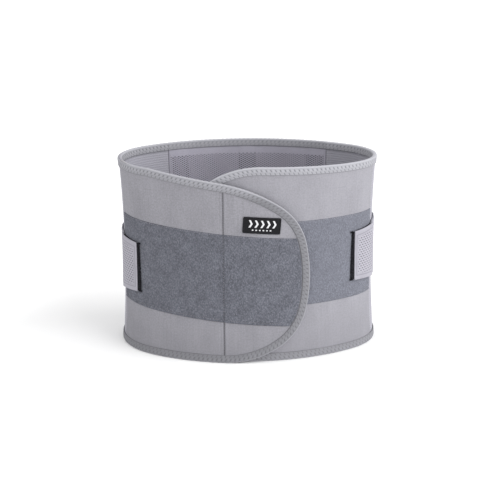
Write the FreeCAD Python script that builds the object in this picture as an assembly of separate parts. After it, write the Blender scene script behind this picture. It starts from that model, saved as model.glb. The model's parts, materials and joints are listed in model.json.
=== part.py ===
import FreeCAD
import Part

import math
import os
from collections import namedtuple

from FreeCAD import Vector

# A lumbar support belt, fastened as it is round a waist, standing on its lower rim.
#
# The waist opening is an oval of four arcs, and the wall leans outward towards both rims. Every piece of cloth is
# a layer of that wall: it has an inner and an outer distance from the wall's inside face, a stretch of the girth
# and an outline seen from the front. The left wing (at -X) laps over the right one at the front (-Y). The wings
# are built at -X and mirrored where the piece belongs at +X.
#
# Frame: millimetres, +Z up, origin at the centre of the waist opening in the plane of the lower rim, +Y to the back.

# Wall of the belt
HEIGHT = 205.0  # rim to rim at the back and sides
HALF_WIDTH = 133.0  # inside face at mid height
HALF_DEPTH = 87.0  # inside face at mid height
SIDE_RADIUS = 62.0  # inside face at the wearer's sides
FLARE = 3.8  # how far each rim stands out from mid height

# Cloth thicknesses. The foam is as thick as a stay's channel.
LINING = 0.6
FACE = 0.6
TAPE = 0.65  # edge binding
LOOP = 1.0
HOOK = 1.1
ELASTIC = 2.2  # side panels
WEBBING = 1.6  # pull straps
TAB_HOOK = 1.5
TAB_COVER = 1.8
PLY_GAP = 0.05  # between plies sewn together
LAP_GAP = 0.4  # between pieces that come apart in use
JOINT_GAP = 0.4  # between two bodies where the cloth bends

# Places along the girth, as lengths on the inside face from the side of the waist, positive to the front
BEND_AT = -30.0  # where a wing swings on the elastic side panel
WING_SEAM_AT = 24.0  # side panel to wing
BACK_SEAM = 92.0  # back panel to side panel, from the centre of the back
STRAP_ANCHOR = 34.0  # rear end of each strap, from the centre of the back
STRAP_BEND_AT = -9.0  # where a loose strap swings out
STRAP_LEAD = 6.0
STRETCH = 6.0  # strap between the lead and the tab
TAB_LENGTH = 48.0
TAB_HOOK_AFTER_SEAM = 3.0
TAB_HOOK_OVERHANG = 9.0  # hook beyond the cover's front end

# Edge binding, loop bands and the fold line of the closing tip
BINDING_WIDTH = 8.5
FOLD_X = -25.5
BAND_INSET = 0.6  # loop band to binding

# Wing outlines, seen from the front. The top edge runs straight from the side to the shoulder of the tip, and the
# tip is a chain of arcs: shoulder, corner, end, corner, shoulder. The corner radii are worked out. Heights that end
# in _up are above mid height. top_drop is how far the top edge's line is under the rims at the centre of the front.
Wing = namedtuple(
    "Wing",
    "step tip_x tip_up end_radius end_turn top_shoulder top_split bottom_shoulder bottom_split "
    "top_fall top_drop band_up band_height band_tilt tab_up",
)
TAB_FRONT_HEIGHT = 54.0
STRAP_HEIGHT = 65.0

# Stays in the back panel
STAY_SPACING = 77.0  # seen from behind
STAY_COUNT = 3
STAY_WIDTH = 12.0
STAY_THICKNESS = 0.8
STAY_CAP_WALL = 0.22
STAY_CAP_LENGTH = 11.0
STAY_END_MARGIN = 18.0  # stay to rim
CAP_GAP = 0.03  # cap to channel
CHANNEL_SEAM = 4.0  # sewn edge each side of a channel
CHANNEL_WALL = 0.35
CHANNEL_MARGIN = 11.0  # channel end to rim

# Strap anchor on the back
PATCH_HALF_WIDTH = 42.0
PATCH_MARGIN = 6.0  # patch above and below the straps
PATCH = 1.0

# Label on the closing tip
LABEL_WIDTH = 38.5
LABEL_HEIGHT = 17.5
LABEL_THICKNESS = 1.1
LABEL_CORNER = 1.6
LABEL_X = 14.5
LABEL_UP = 46.2  # above mid height
LABEL_TILT = -4.2

# Worked out from the sizes above
MID_HEIGHT = HEIGHT / 2
FOAM = STAY_THICKNESS + 2 * (STAY_CAP_WALL + CAP_GAP + CHANNEL_WALL)
WALL_RADIUS = (MID_HEIGHT**2 + FLARE**2) / (2 * FLARE)
SIDE_CENTRE = HALF_WIDTH - SIDE_RADIUS
END_CENTRE = (SIDE_CENTRE**2 - (HALF_DEPTH - SIDE_RADIUS) ** 2) / (2 * (HALF_DEPTH - SIDE_RADIUS))
END_RADIUS = HALF_DEPTH + END_CENTRE
FOAM_AT = LINING + PLY_GAP
FACE_AT = FOAM_AT + FOAM + PLY_GAP
BODY = FACE_AT + FACE
LOOP_TOP = BODY + PLY_GAP + LOOP
HOOK_DEPTH = PLY_GAP + HOOK
LAP_STEP = LOOP_TOP + LAP_GAP + HOOK_DEPTH
STRAP_AT = BODY + PLY_GAP
STRAP_TOP = STRAP_AT + WEBBING
TAB_HOOK_AT = LOOP_TOP + LAP_GAP
TAB_COVER_AT = TAB_HOOK_AT + TAB_HOOK + PLY_GAP
BEND_ANGLE = math.degrees(-BEND_AT / SIDE_RADIUS)
TAB_START = STRAP_BEND_AT + STRAP_LEAD + STRETCH
TAB_HOOK_START = WING_SEAM_AT + TAB_HOOK_AFTER_SEAM
REACH = HALF_WIDTH + HALF_DEPTH  # past every piece, for cutting shapes
LOW_REACH = -10.0  # below the lower rim
TOP_REACH = HEIGHT + 10.0  # above the highest rim

LEFT = Wing(
    step=LAP_STEP,
    tip_x=65.0,
    tip_up=-10.5,
    end_radius=170.0,
    end_turn=12.0,
    top_shoulder=150.0,
    top_split=55.0,
    bottom_shoulder=110.0,
    bottom_split=58.0,
    top_fall=8.1,
    top_drop=16.1,
    band_up=-13.0,
    band_height=95.0,
    band_tilt=-4.6,
    tab_up=-8.5,
)
RIGHT = Wing(
    step=0.0,
    tip_x=67.0,
    tip_up=-2.5,
    end_radius=290.0,
    end_turn=12.0,
    top_shoulder=90.0,
    top_split=58.0,
    bottom_shoulder=60.0,
    bottom_split=58.0,
    top_fall=-2.0,
    top_drop=-4.4,
    band_up=1.5,
    band_height=91.0,
    band_tilt=0.0,
    tab_up=1.5,
)

# A sector of the wall turns about a vertical axis at (x, y). Angles run anticlockwise from +X, in degrees.
Sector = namedtuple("Sector", "x y radius start end")


def cosd(angle):
    return math.cos(math.radians(angle))


def sind(angle):
    return math.sin(math.radians(angle))


# ---- the wall ----


def wing_path(wing):
    """The left wing's run from its bend round the side to past its tip, and the length at which the run starts."""
    front_radius = END_RADIUS + wing.step
    side_radius = (front_radius**2 - HALF_WIDTH**2 - END_CENTRE**2) / (2 * (front_radius - HALF_WIDTH))
    side_centre = HALF_WIDTH - side_radius
    join = 180 + math.degrees(math.atan2(END_CENTRE, side_centre))
    past_tip = 270 + math.degrees(math.asin((wing.tip_x + BINDING_WIDTH) / front_radius))
    return [
        Sector(-SIDE_CENTRE, 0, SIDE_RADIUS, 180 - BEND_ANGLE, 180),
        Sector(-side_centre, 0, side_radius, 180, join),
        Sector(0, END_CENTRE, front_radius, join, past_tip),
    ], BEND_AT


def back_path():
    """The left half of the back, from the centre of the back to the wing's bend."""
    join = 180 - math.degrees(math.atan2(END_CENTRE, SIDE_CENTRE))
    return [
        Sector(0, -END_CENTRE, END_RADIUS, 90, join),
        Sector(-SIDE_CENTRE, 0, SIDE_RADIUS, join, 180 - BEND_ANGLE),
    ], 0.0


def path_length(path):
    return sum(math.radians(s.end - s.start) * s.radius for s in path[0])


def trim(path, start, end):
    """The stretch of a path between two lengths."""
    sectors, at = path
    kept = []
    for sector in sectors:
        length = math.radians(sector.end - sector.start) * sector.radius
        low = max(start, at)
        high = min(end, at + length)
        if high - low > 1e-6:
            kept.append(
                sector._replace(
                    start=sector.start + math.degrees((low - at) / sector.radius),
                    end=sector.start + math.degrees((high - at) / sector.radius),
                )
            )
        at += length
    return kept, max(start, path[1])


def wall_x(radius, offset, z):
    """Distance of the wall from a sector's axis: offset is measured outward from the inside face."""
    return radius + WALL_RADIUS - math.sqrt((WALL_RADIUS - offset) ** 2 - (z - MID_HEIGHT) ** 2)


def wall_edge(radius, offset, low, high):
    points = [Vector(wall_x(radius, offset, z), 0, z) for z in (low, (low + high) / 2, high)]
    return Part.Arc(*points).toShape()


def layer(path, inner, outer, low=LOW_REACH, high=TOP_REACH):
    """A layer of the wall between two distances from the inside face."""
    parts = []
    for sector in path[0]:
        inside = wall_edge(sector.radius, inner, low, high)
        outside = wall_edge(sector.radius, outer, low, high)
        across = [
            Part.makeLine(inside.Vertexes[k].Point, outside.Vertexes[k].Point) for k in (0, 1)
        ]
        face = Part.Face(Part.Wire(Part.__sortEdges__([inside, across[1], outside, across[0]])))
        solid = face.revolve(Vector(), Vector(0, 0, 1), sector.end - sector.start)
        solid.rotate(Vector(), Vector(0, 0, 1), sector.start)
        solid.translate(Vector(sector.x, sector.y, 0))
        parts.append(solid)
    return parts[0] if len(parts) == 1 else parts[0].multiFuse(parts[1:])


def mirrored(shape):
    return shape.mirror(Vector(), Vector(1, 0, 0))


def both_halves(shape):
    """A piece of the back that crosses its centre."""
    return shape.fuse(mirrored(shape)).removeSplitter()


# ---- cutting shapes ----


def front_prism(wire):
    """Everything behind and in front of an outline in the XZ plane."""
    wire.translate(Vector(0, -REACH, 0))
    return Part.Face(wire).extrude(Vector(0, 2 * REACH, 0))


def side_prism(points):
    """Everything to the left of the centre, within an outline given as (y, z)."""
    corners = [Vector(0, y, z) for y, z in points]
    face = Part.Face(Part.makePolygon(corners + corners[:1]))
    return face.extrude(Vector(-REACH, 0, 0))


def strip(x_low, x_high):
    """Everything between two places seen from the front."""
    return Part.makeBox(x_high - x_low, 2 * REACH, 2 * TOP_REACH, Vector(x_low, -REACH, -TOP_REACH / 2))


def arc_chain(point, heading, arcs):
    """Tangent arcs in the XZ plane, each (radius, turn). A positive turn is to the left."""
    edges = []
    for radius, turn in arcs:
        side = math.copysign(1.0, turn)
        centre = point + Vector(-sind(heading), 0, cosd(heading)) * radius * side
        spoke = point - centre
        ends = []
        for share in (0.5, 1.0):
            a = turn * share
            ends.append(
                centre
                + Vector(spoke.x * cosd(a) - spoke.z * sind(a), 0, spoke.x * sind(a) + spoke.z * cosd(a))
            )
        edges.append(Part.Arc(point, ends[0], ends[1]).toShape())
        point = ends[1]
        heading += turn
    return edges, point


def corner_radius(wing, up):
    """The corner radius that brings the tip's arcs onto the wing's straight edge."""
    shoulder, split = (
        (wing.top_shoulder, wing.top_split) if up else (wing.bottom_shoulder, wing.bottom_split)
    )
    fall = wing.top_fall if up else 0.0
    last = 90 - fall
    turn = wing.end_turn
    x = wing.tip_x - wing.end_radius * (1 - cosd(turn)) - shoulder * (cosd(split) - cosd(last))
    rise = wing.end_radius * sind(turn) + shoulder * (sind(last) - sind(split))
    across = cosd(turn) - cosd(split)
    along = sind(split) - sind(turn)
    slope = math.tan(math.radians(fall))
    tip_z = MID_HEIGHT + wing.tip_up
    to_edge = (HEIGHT - wing.top_drop - tip_z) if up else tip_z
    return (to_edge - slope * x - rise) / (along - slope * across)


def wing_outline(wing, inset):
    """The wing's outline seen from the front, drawn in from the edge by inset."""
    tip = Vector(wing.tip_x - inset, 0, MID_HEIGHT + wing.tip_up)
    end = (wing.end_radius - inset, wing.end_turn)
    top_corner = corner_radius(wing, True) - inset
    bottom_corner = corner_radius(wing, False) - inset
    top_arcs, top_end = arc_chain(
        tip,
        90,
        [
            end,
            (top_corner, wing.top_split - wing.end_turn),
            (wing.top_shoulder - inset, 90 - wing.top_fall - wing.top_split),
        ],
    )
    bottom_arcs, bottom_end = arc_chain(
        tip,
        -90,
        [
            (end[0], -end[1]),
            (bottom_corner, wing.end_turn - wing.bottom_split),
            (wing.bottom_shoulder - inset, wing.bottom_split - 90),
        ],
    )
    level_x = top_end.x - (HEIGHT - inset - top_end.z) / math.tan(math.radians(wing.top_fall))
    corners = [
        top_end,
        Vector(level_x, 0, HEIGHT - inset),
        Vector(-REACH, 0, HEIGHT - inset),
        Vector(-REACH, 0, inset),
        bottom_end,
    ]
    lines = [Part.makeLine(a, b) for a, b in zip(corners, corners[1:])]
    return Part.Wire(Part.__sortEdges__(top_arcs + lines + bottom_arcs))


def back_outline(inset):
    """The back's rims, drawn in by inset. Its ends lie past the back."""
    corners = [
        Vector(x, 0, z)
        for x, z in (
            (-REACH, inset),
            (REACH, inset),
            (REACH, HEIGHT - inset),
            (-REACH, HEIGHT - inset),
        )
    ]
    return Part.makePolygon(corners + corners[:1])


def band_prism(wing):
    """The loop band's height, which tilts with the wing. band_up is its middle at the centre of the front."""
    rise = math.tan(math.radians(wing.band_tilt)) * REACH
    low = MID_HEIGHT + wing.band_up - wing.band_height / 2
    high = low + wing.band_height
    corners = [
        Vector(-REACH, 0, low - rise),
        Vector(REACH, 0, low + rise),
        Vector(REACH, 0, high + rise),
        Vector(-REACH, 0, high - rise),
    ]
    return front_prism(Part.makePolygon(corners + corners[:1]))


# ---- pieces common to the wings and the back ----


def panel(path, inner, outer, outline, inset=TAPE + PLY_GAP):
    """A ply of cloth inside the binding."""
    return layer(path, inner, outer).common(front_prism(outline(inset)))


def binding(path, outline):
    """Elastic tape folded over the edge and sewn through both faces."""
    wrap = layer(path, -PLY_GAP - TAPE, BODY + PLY_GAP + TAPE).common(front_prism(outline(0.0)))
    pocket = layer(path, -PLY_GAP, BODY + PLY_GAP).common(front_prism(outline(TAPE)))
    return wrap.cut([pocket, front_prism(outline(BINDING_WIDTH))])


def upper(shape):
    return Part.makeCompound([s for s in shape.Solids if s.CenterOfMass.z > MID_HEIGHT])


def lower(shape):
    return Part.makeCompound([s for s in shape.Solids if s.CenterOfMass.z < MID_HEIGHT])


# ---- wings ----


def wing_nodes(wing, name):
    """One wing's body from its bend to its seam, and its plies from the seam to past the tip."""
    path = wing_path(wing)
    whole = trim(path, BEND_AT + JOINT_GAP / 2, BEND_AT + path_length(path))
    cloth = trim(path, WING_SEAM_AT, BEND_AT + path_length(path))

    def outline(inset):
        return wing_outline(wing, inset)

    inside = front_prism(outline(BINDING_WIDTH + BAND_INSET))
    band = layer(trim(path, WING_SEAM_AT + BAND_INSET, BEND_AT + path_length(path)), BODY + PLY_GAP, LOOP_TOP)
    elastic_at = (BODY - ELASTIC) / 2
    return {
        f"{name}_lining": panel(cloth, 0.0, LINING, outline),
        f"{name}_foam": panel(cloth, FOAM_AT, FOAM_AT + FOAM, outline),
        f"{name}_face": panel(cloth, FACE_AT, BODY, outline),
        f"{name}_loop": band.common(inside).common(band_prism(wing)),
        f"{name}_binding": binding(whole, outline),
        f"{name}_elastic": panel(
            trim(path, BEND_AT + JOINT_GAP / 2, WING_SEAM_AT - PLY_GAP),
            elastic_at,
            elastic_at + ELASTIC,
            outline,
        ),
    }


def left_wing_and_tip():
    """The outer wing, parted at the line where its closing tip folds."""
    whole = wing_nodes(LEFT, "ply")
    wing_side = strip(-REACH, FOLD_X - JOINT_GAP / 2)
    tip_side = strip(FOLD_X + JOINT_GAP / 2, REACH)
    nodes = {"left_side_elastic_front": whole["ply_elastic"]}
    for ply in ("lining", "foam", "face", "loop"):
        nodes[f"left_wing_{ply}"] = whole[f"ply_{ply}"].common(wing_side)
        nodes[f"left_tip_{ply}"] = whole[f"ply_{ply}"].common(tip_side)
    on_wing = whole["ply_binding"].common(wing_side)
    nodes["left_wing_binding_top"] = upper(on_wing)
    nodes["left_wing_binding_bottom"] = lower(on_wing)
    nodes["left_tip_binding"] = whole["ply_binding"].common(tip_side)
    return nodes


def closure_hook():
    """The hook panel sewn to the inside of the closing tip."""
    ply = layer(wing_path(LEFT), -HOOK_DEPTH, -PLY_GAP)
    inside = front_prism(wing_outline(LEFT, BINDING_WIDTH + BAND_INSET))
    return ply.common(inside).common(strip(FOLD_X + JOINT_GAP, REACH))


def right_wing():
    """The inner wing, whole."""
    nodes = {name: mirrored(shape) for name, shape in wing_nodes(RIGHT, "right_wing").items()}
    nodes["right_side_elastic_front"] = nodes.pop("right_wing_elastic")
    return nodes


# ---- back ----


def stay_places():
    first = -STAY_SPACING * (STAY_COUNT - 1) / 2
    return [first + STAY_SPACING * k for k in range(STAY_COUNT)]


def back_layer(inner, outer, low, high):
    return both_halves(layer(trim(back_path(), 0, BACK_SEAM), inner, outer, low, high))


def stay_and_caps(x):
    """One spring-steel stay and the two plastic caps on its ends."""
    low = STAY_END_MARGIN
    high = HEIGHT - STAY_END_MARGIN
    middle = FOAM_AT + FOAM / 2
    half = STAY_THICKNESS / 2
    around = strip(x - STAY_WIDTH / 2, x + STAY_WIDTH / 2)
    stay = layer(trim(back_path(), 0, BACK_SEAM), middle - half, middle + half, low, high)
    stay = both_halves(stay).common(around)
    half_cap = half + STAY_CAP_WALL
    wide = STAY_WIDTH / 2 + STAY_CAP_WALL * 2
    caps = []
    for cap_low, cap_high in (
        (low - STAY_CAP_WALL * 2, low + STAY_CAP_LENGTH),
        (high - STAY_CAP_LENGTH, high + STAY_CAP_WALL * 2),
    ):
        block = back_layer(middle - half_cap, middle + half_cap, cap_low, cap_high)
        caps.append(block.common(strip(x - wide, x + wide)).cut(stay))
    return stay, caps


def channel(x):
    """A flat sleeve of tape that holds one stay, open through its height."""
    low = CHANNEL_MARGIN
    high = HEIGHT - CHANNEL_MARGIN
    outer_half = STAY_WIDTH / 2 + CHANNEL_SEAM
    outer = back_layer(FOAM_AT, FOAM_AT + FOAM, low, high)
    outer = outer.common(strip(x - outer_half, x + outer_half))
    half = outer_half - CHANNEL_WALL * 2
    hollow = back_layer(FOAM_AT + CHANNEL_WALL, FOAM_AT + FOAM - CHANNEL_WALL, low - 1, high + 1)
    return outer.cut(hollow.common(strip(x - half, x + half)))


def back_nodes():
    path = back_path()
    length = path_length(path) - JOINT_GAP / 2
    centre = trim(path, 0, BACK_SEAM)
    side = trim(path, BACK_SEAM + PLY_GAP, length)
    elastic_at = (BODY - ELASTIC) / 2
    rear_elastic = panel(side, elastic_at, elastic_at + ELASTIC, back_outline)
    rims = binding(trim(path, 0, length), back_outline)
    nodes = {
        "back_mesh_lining": both_halves(panel(centre, 0.0, LINING, back_outline)),
        "back_outer_cover": both_halves(panel(centre, FACE_AT, BODY, back_outline)),
        "back_binding_top": both_halves(upper(rims).Solids[0]),
        "back_binding_bottom": both_halves(lower(rims).Solids[0]),
        "left_side_elastic_rear": rear_elastic,
        "right_side_elastic_rear": mirrored(rear_elastic),
    }
    caps = []
    for number, x in enumerate(stay_places(), 1):
        stay, stay_caps = stay_and_caps(x)
        nodes[f"stay_{number}"] = stay
        nodes[f"stay_channel_{number}"] = channel(x)
        caps += stay_caps
    nodes["stay_end_caps"] = Part.makeCompound(caps)
    return nodes


# ---- pull straps ----


def strap_nodes(wing, name):
    """One pull strap with its tab, at -X. It runs from the back round the side to the tab on the wing."""
    middle = MID_HEIGHT + wing.tab_up
    path = wing_path(wing)
    rear_end = path_length(back_path()) - JOINT_GAP / 2
    lead_at = STRAP_BEND_AT + JOINT_GAP / 2
    lead_end = STRAP_BEND_AT + STRAP_LEAD

    def webbing(stretch, lift=0.0):
        low = middle - STRAP_HEIGHT / 2
        return layer(stretch, STRAP_AT + lift, STRAP_TOP + lift, low, low + STRAP_HEIGHT)

    return {
        f"{name}_strap_rear": webbing(trim(back_path(), STRAP_ANCHOR, rear_end)),
        f"{name}_strap_side": webbing(
            trim(path, BEND_AT + JOINT_GAP / 2, STRAP_BEND_AT - JOINT_GAP / 2)
        ),
        f"{name}_strap_lead": webbing(trim(path, lead_at, lead_end), LAP_GAP),
        f"{name}_strap_stretch": webbing(trim(path, lead_end + PLY_GAP, TAB_START - PLY_GAP), LAP_GAP),
        **tab_nodes(wing, path, name),
    }


def tab_outline(wing, path):
    """The tab's height seen from the side. It narrows in a straight line from its rear end to past its hook."""
    last = trim(path, BEND_AT, TAB_START + TAB_LENGTH)[0][-1]
    front_y = last.y + (last.radius + TAB_HOOK_AT) * sind(last.end)
    middle = MID_HEIGHT + wing.tab_up
    past = TAB_HOOK_OVERHANG
    taper = (STRAP_HEIGHT - TAB_FRONT_HEIGHT) / 2 / -front_y
    rear_half = STRAP_HEIGHT / 2 + taper * past
    front_half = TAB_FRONT_HEIGHT / 2 - taper * past
    return side_prism(
        [
            (past, middle + rear_half),
            (front_y - past, middle + front_half),
            (front_y - past, middle - front_half),
            (past, middle - rear_half),
        ]
    )


def tab_ply(wing, path, start, end, inner, thickness):
    return layer(trim(path, start, end), inner, inner + thickness).common(tab_outline(wing, path))


def tab_nodes(wing, path, name):
    """The tab: the strap's front end, folded double, and the hook pad, both sewn under the cover."""
    end = TAB_START + TAB_LENGTH
    hook_end = end + TAB_HOOK_OVERHANG
    strap_end = TAB_HOOK_START - PLY_GAP
    return {
        f"{name}_tab_cover": tab_ply(wing, path, TAB_START, end, TAB_COVER_AT, TAB_COVER),
        f"{name}_tab_hook": tab_ply(wing, path, TAB_HOOK_START, hook_end, TAB_HOOK_AT, TAB_HOOK),
        f"{name}_strap_end": tab_ply(wing, path, TAB_START, strap_end, TAB_HOOK_AT, TAB_HOOK),
    }


def strap_heights():
    """The lowest and highest edge of the two straps at the back."""
    ups = (LEFT.tab_up, RIGHT.tab_up)
    return MID_HEIGHT + min(ups) - STRAP_HEIGHT / 2, MID_HEIGHT + max(ups) + STRAP_HEIGHT / 2


def anchor_patch():
    """The cloth patch over both straps' rear ends."""
    low, high = strap_heights()
    at = STRAP_TOP + PLY_GAP
    path = trim(back_path(), 0, PATCH_HALF_WIDTH)
    return both_halves(layer(path, at, at + PATCH, low - PATCH_MARGIN, high + PATCH_MARGIN))


def anchor_filler():
    """The folded cloth between the two strap ends, under the patch."""
    low, high = strap_heights()
    path = trim(back_path(), 0, STRAP_ANCHOR - PLY_GAP)
    return both_halves(layer(path, STRAP_AT, STRAP_TOP, low, high))


# ---- label ----


def label():
    """The rubber label on the closing tip, above the loop band."""
    half_x = LABEL_WIDTH / 2
    half_z = LABEL_HEIGHT / 2
    plate = Part.makeBox(LABEL_WIDTH, REACH, LABEL_HEIGHT, Vector(-half_x, -REACH, -half_z))
    upright = [e for e in plate.Edges if abs(e.tangentAt(e.FirstParameter).y) > 0.9]
    plate = plate.makeFillet(LABEL_CORNER, upright)
    plate.rotate(Vector(), Vector(0, -1, 0), LABEL_TILT)
    plate.translate(Vector(LABEL_X, 0, MID_HEIGHT + LABEL_UP))
    return layer(wing_path(LEFT), BODY + PLY_GAP, BODY + PLY_GAP + LABEL_THICKNESS).common(plate)


def main():
    nodes = {}
    nodes.update(back_nodes())
    nodes.update(left_wing_and_tip())
    nodes["left_tip_hook"] = closure_hook()
    nodes["label"] = label()
    nodes.update(right_wing())
    nodes.update(strap_nodes(LEFT, "left"))
    right = strap_nodes(RIGHT, "right")
    nodes.update({name: mirrored(shape) for name, shape in right.items()})
    nodes["strap_anchor_patch"] = anchor_patch()
    nodes["strap_anchor_filler"] = anchor_filler()
    os.makedirs("parts", exist_ok=True)
    for name, shape in nodes.items():
        solids = shape.Solids
        if not solids or not all(s.isValid() and s.Volume > 0 for s in solids):
            raise ValueError(f"{name} did not build: {len(solids)} solids")
        whole = solids[0] if len(solids) == 1 else Part.makeCompound(solids)
        whole.exportStep(f"parts/{name}.step")
        print(f"{name:28s} solids {len(solids)}  volume {whole.Volume:10.1f} mm3")


if __name__ == "__main__":
    main()
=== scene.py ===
import json
import math
from collections import namedtuple

import bmesh
import bpy
import numpy as np
from mathutils import Matrix, Vector, noise
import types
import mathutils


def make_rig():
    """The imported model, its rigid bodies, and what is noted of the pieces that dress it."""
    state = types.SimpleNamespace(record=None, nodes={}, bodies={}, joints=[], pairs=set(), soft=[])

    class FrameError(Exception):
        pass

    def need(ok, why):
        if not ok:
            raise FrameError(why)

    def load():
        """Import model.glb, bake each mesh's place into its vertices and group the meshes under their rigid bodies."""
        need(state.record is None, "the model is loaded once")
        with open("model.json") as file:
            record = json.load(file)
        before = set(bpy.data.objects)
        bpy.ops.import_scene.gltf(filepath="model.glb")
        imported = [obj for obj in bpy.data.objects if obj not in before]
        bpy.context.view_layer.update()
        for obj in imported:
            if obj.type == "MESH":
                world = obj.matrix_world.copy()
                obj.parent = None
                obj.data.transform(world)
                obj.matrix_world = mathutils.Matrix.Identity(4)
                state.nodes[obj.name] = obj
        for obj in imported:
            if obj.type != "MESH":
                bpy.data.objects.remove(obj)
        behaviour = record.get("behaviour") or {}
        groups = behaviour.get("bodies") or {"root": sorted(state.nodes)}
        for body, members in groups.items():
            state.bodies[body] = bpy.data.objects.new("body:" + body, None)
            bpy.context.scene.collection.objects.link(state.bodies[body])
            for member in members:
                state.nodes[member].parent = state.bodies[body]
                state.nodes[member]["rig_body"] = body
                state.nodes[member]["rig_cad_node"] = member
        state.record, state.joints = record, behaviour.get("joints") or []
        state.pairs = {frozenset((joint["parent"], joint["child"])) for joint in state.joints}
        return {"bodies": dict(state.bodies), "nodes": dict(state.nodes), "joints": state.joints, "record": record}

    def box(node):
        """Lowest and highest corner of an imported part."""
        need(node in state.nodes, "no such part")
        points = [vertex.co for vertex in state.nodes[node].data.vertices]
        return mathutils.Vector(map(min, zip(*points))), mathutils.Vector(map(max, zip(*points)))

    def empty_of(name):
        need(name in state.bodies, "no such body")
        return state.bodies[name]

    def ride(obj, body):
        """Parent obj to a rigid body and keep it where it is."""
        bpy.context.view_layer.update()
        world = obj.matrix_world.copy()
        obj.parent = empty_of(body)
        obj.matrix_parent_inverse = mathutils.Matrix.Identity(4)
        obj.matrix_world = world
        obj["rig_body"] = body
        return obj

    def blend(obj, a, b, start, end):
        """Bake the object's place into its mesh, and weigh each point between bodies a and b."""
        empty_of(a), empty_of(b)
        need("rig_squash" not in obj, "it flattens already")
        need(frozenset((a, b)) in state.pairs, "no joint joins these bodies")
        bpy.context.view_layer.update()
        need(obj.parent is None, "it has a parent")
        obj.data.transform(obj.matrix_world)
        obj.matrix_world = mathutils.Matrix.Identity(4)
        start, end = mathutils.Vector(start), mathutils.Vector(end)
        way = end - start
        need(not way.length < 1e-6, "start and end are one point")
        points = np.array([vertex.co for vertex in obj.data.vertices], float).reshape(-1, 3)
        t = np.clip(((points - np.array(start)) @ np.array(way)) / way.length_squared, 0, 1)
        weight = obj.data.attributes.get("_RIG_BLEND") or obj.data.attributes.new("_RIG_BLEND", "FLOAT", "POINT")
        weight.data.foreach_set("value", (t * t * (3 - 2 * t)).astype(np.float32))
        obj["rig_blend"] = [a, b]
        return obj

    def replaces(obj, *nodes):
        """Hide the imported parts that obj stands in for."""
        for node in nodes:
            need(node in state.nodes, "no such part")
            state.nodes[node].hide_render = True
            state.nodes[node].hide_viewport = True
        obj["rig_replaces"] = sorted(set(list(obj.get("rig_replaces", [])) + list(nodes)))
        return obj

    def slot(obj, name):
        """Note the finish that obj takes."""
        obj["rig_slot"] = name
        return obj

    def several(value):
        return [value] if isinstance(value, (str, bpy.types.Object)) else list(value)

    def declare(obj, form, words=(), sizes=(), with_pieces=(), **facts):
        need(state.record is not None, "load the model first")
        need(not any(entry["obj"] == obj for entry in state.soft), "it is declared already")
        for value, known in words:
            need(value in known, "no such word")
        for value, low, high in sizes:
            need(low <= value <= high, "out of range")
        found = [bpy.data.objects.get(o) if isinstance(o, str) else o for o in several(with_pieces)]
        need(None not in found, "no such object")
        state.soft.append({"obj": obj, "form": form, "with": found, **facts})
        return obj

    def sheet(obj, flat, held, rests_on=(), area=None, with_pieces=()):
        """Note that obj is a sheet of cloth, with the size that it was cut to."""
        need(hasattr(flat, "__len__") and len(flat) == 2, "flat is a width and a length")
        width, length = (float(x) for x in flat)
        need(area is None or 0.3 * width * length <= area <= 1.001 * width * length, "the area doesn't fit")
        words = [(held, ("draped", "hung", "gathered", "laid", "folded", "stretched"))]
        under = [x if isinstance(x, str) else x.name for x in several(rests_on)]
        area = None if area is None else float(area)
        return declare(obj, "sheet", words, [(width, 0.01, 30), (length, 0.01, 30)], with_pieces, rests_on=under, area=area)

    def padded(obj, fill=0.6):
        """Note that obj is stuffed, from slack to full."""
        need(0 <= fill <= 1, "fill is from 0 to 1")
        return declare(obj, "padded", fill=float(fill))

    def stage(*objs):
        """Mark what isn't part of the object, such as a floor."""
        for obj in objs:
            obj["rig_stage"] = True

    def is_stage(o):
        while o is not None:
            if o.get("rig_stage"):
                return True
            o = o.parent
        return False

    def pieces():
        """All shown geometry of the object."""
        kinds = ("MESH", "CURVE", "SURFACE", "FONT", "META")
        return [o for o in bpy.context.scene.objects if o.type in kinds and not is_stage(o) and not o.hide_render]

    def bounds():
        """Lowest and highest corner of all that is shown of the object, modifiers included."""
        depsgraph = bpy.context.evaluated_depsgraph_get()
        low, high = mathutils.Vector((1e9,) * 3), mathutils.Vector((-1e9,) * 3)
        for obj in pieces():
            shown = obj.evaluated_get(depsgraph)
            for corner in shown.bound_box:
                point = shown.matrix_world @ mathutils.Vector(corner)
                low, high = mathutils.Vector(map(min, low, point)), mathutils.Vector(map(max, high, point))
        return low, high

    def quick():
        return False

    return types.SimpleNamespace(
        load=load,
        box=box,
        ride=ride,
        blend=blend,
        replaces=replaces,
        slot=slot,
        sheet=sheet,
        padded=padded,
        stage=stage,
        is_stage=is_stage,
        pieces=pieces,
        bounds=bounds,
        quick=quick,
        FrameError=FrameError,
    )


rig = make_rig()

bl_info = {
    "name": "Lumbar support belt",
    "version": (1, 0, 0),
    "blender": (4, 5, 0),
    "location": "View3D > Sidebar > Belt",
    "description": "Sews the cloth, tapes, straps and label of a fastened lumbar support belt onto its CAD frame",
    "category": "Object",
}

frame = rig.load()
CAD_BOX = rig.bounds()

MM = 0.001
FOLD_REACH = 3.5 * MM  # half of the length over which the closing tip bends
EDGE_GAP = 0.4 * MM  # loop band to binding
SEAM_PITCH = 2.6 * MM
SEAM_STITCH = (1.9 * MM, 0.3 * MM, 0.3 * MM)
REAR_BEND = (-47.0 * MM, -15.5 * MM)  # where a side panel bends, along the girth from the side
LEAD_START = -15.2 * MM  # where a strap starts to swing out, along the girth from the side
CHANNEL_END = 11.0 * MM  # stay channels to the rims
PATCH_ROW = 36.0 * MM  # upright rows on the strap patch, from the centre of the back


# ---- sizes and colours ----


def length(name, description, default):
    return bpy.props.FloatProperty(
        name=name, description=description, default=default * MM, subtype="DISTANCE", unit="LENGTH", precision=5
    )


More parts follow.
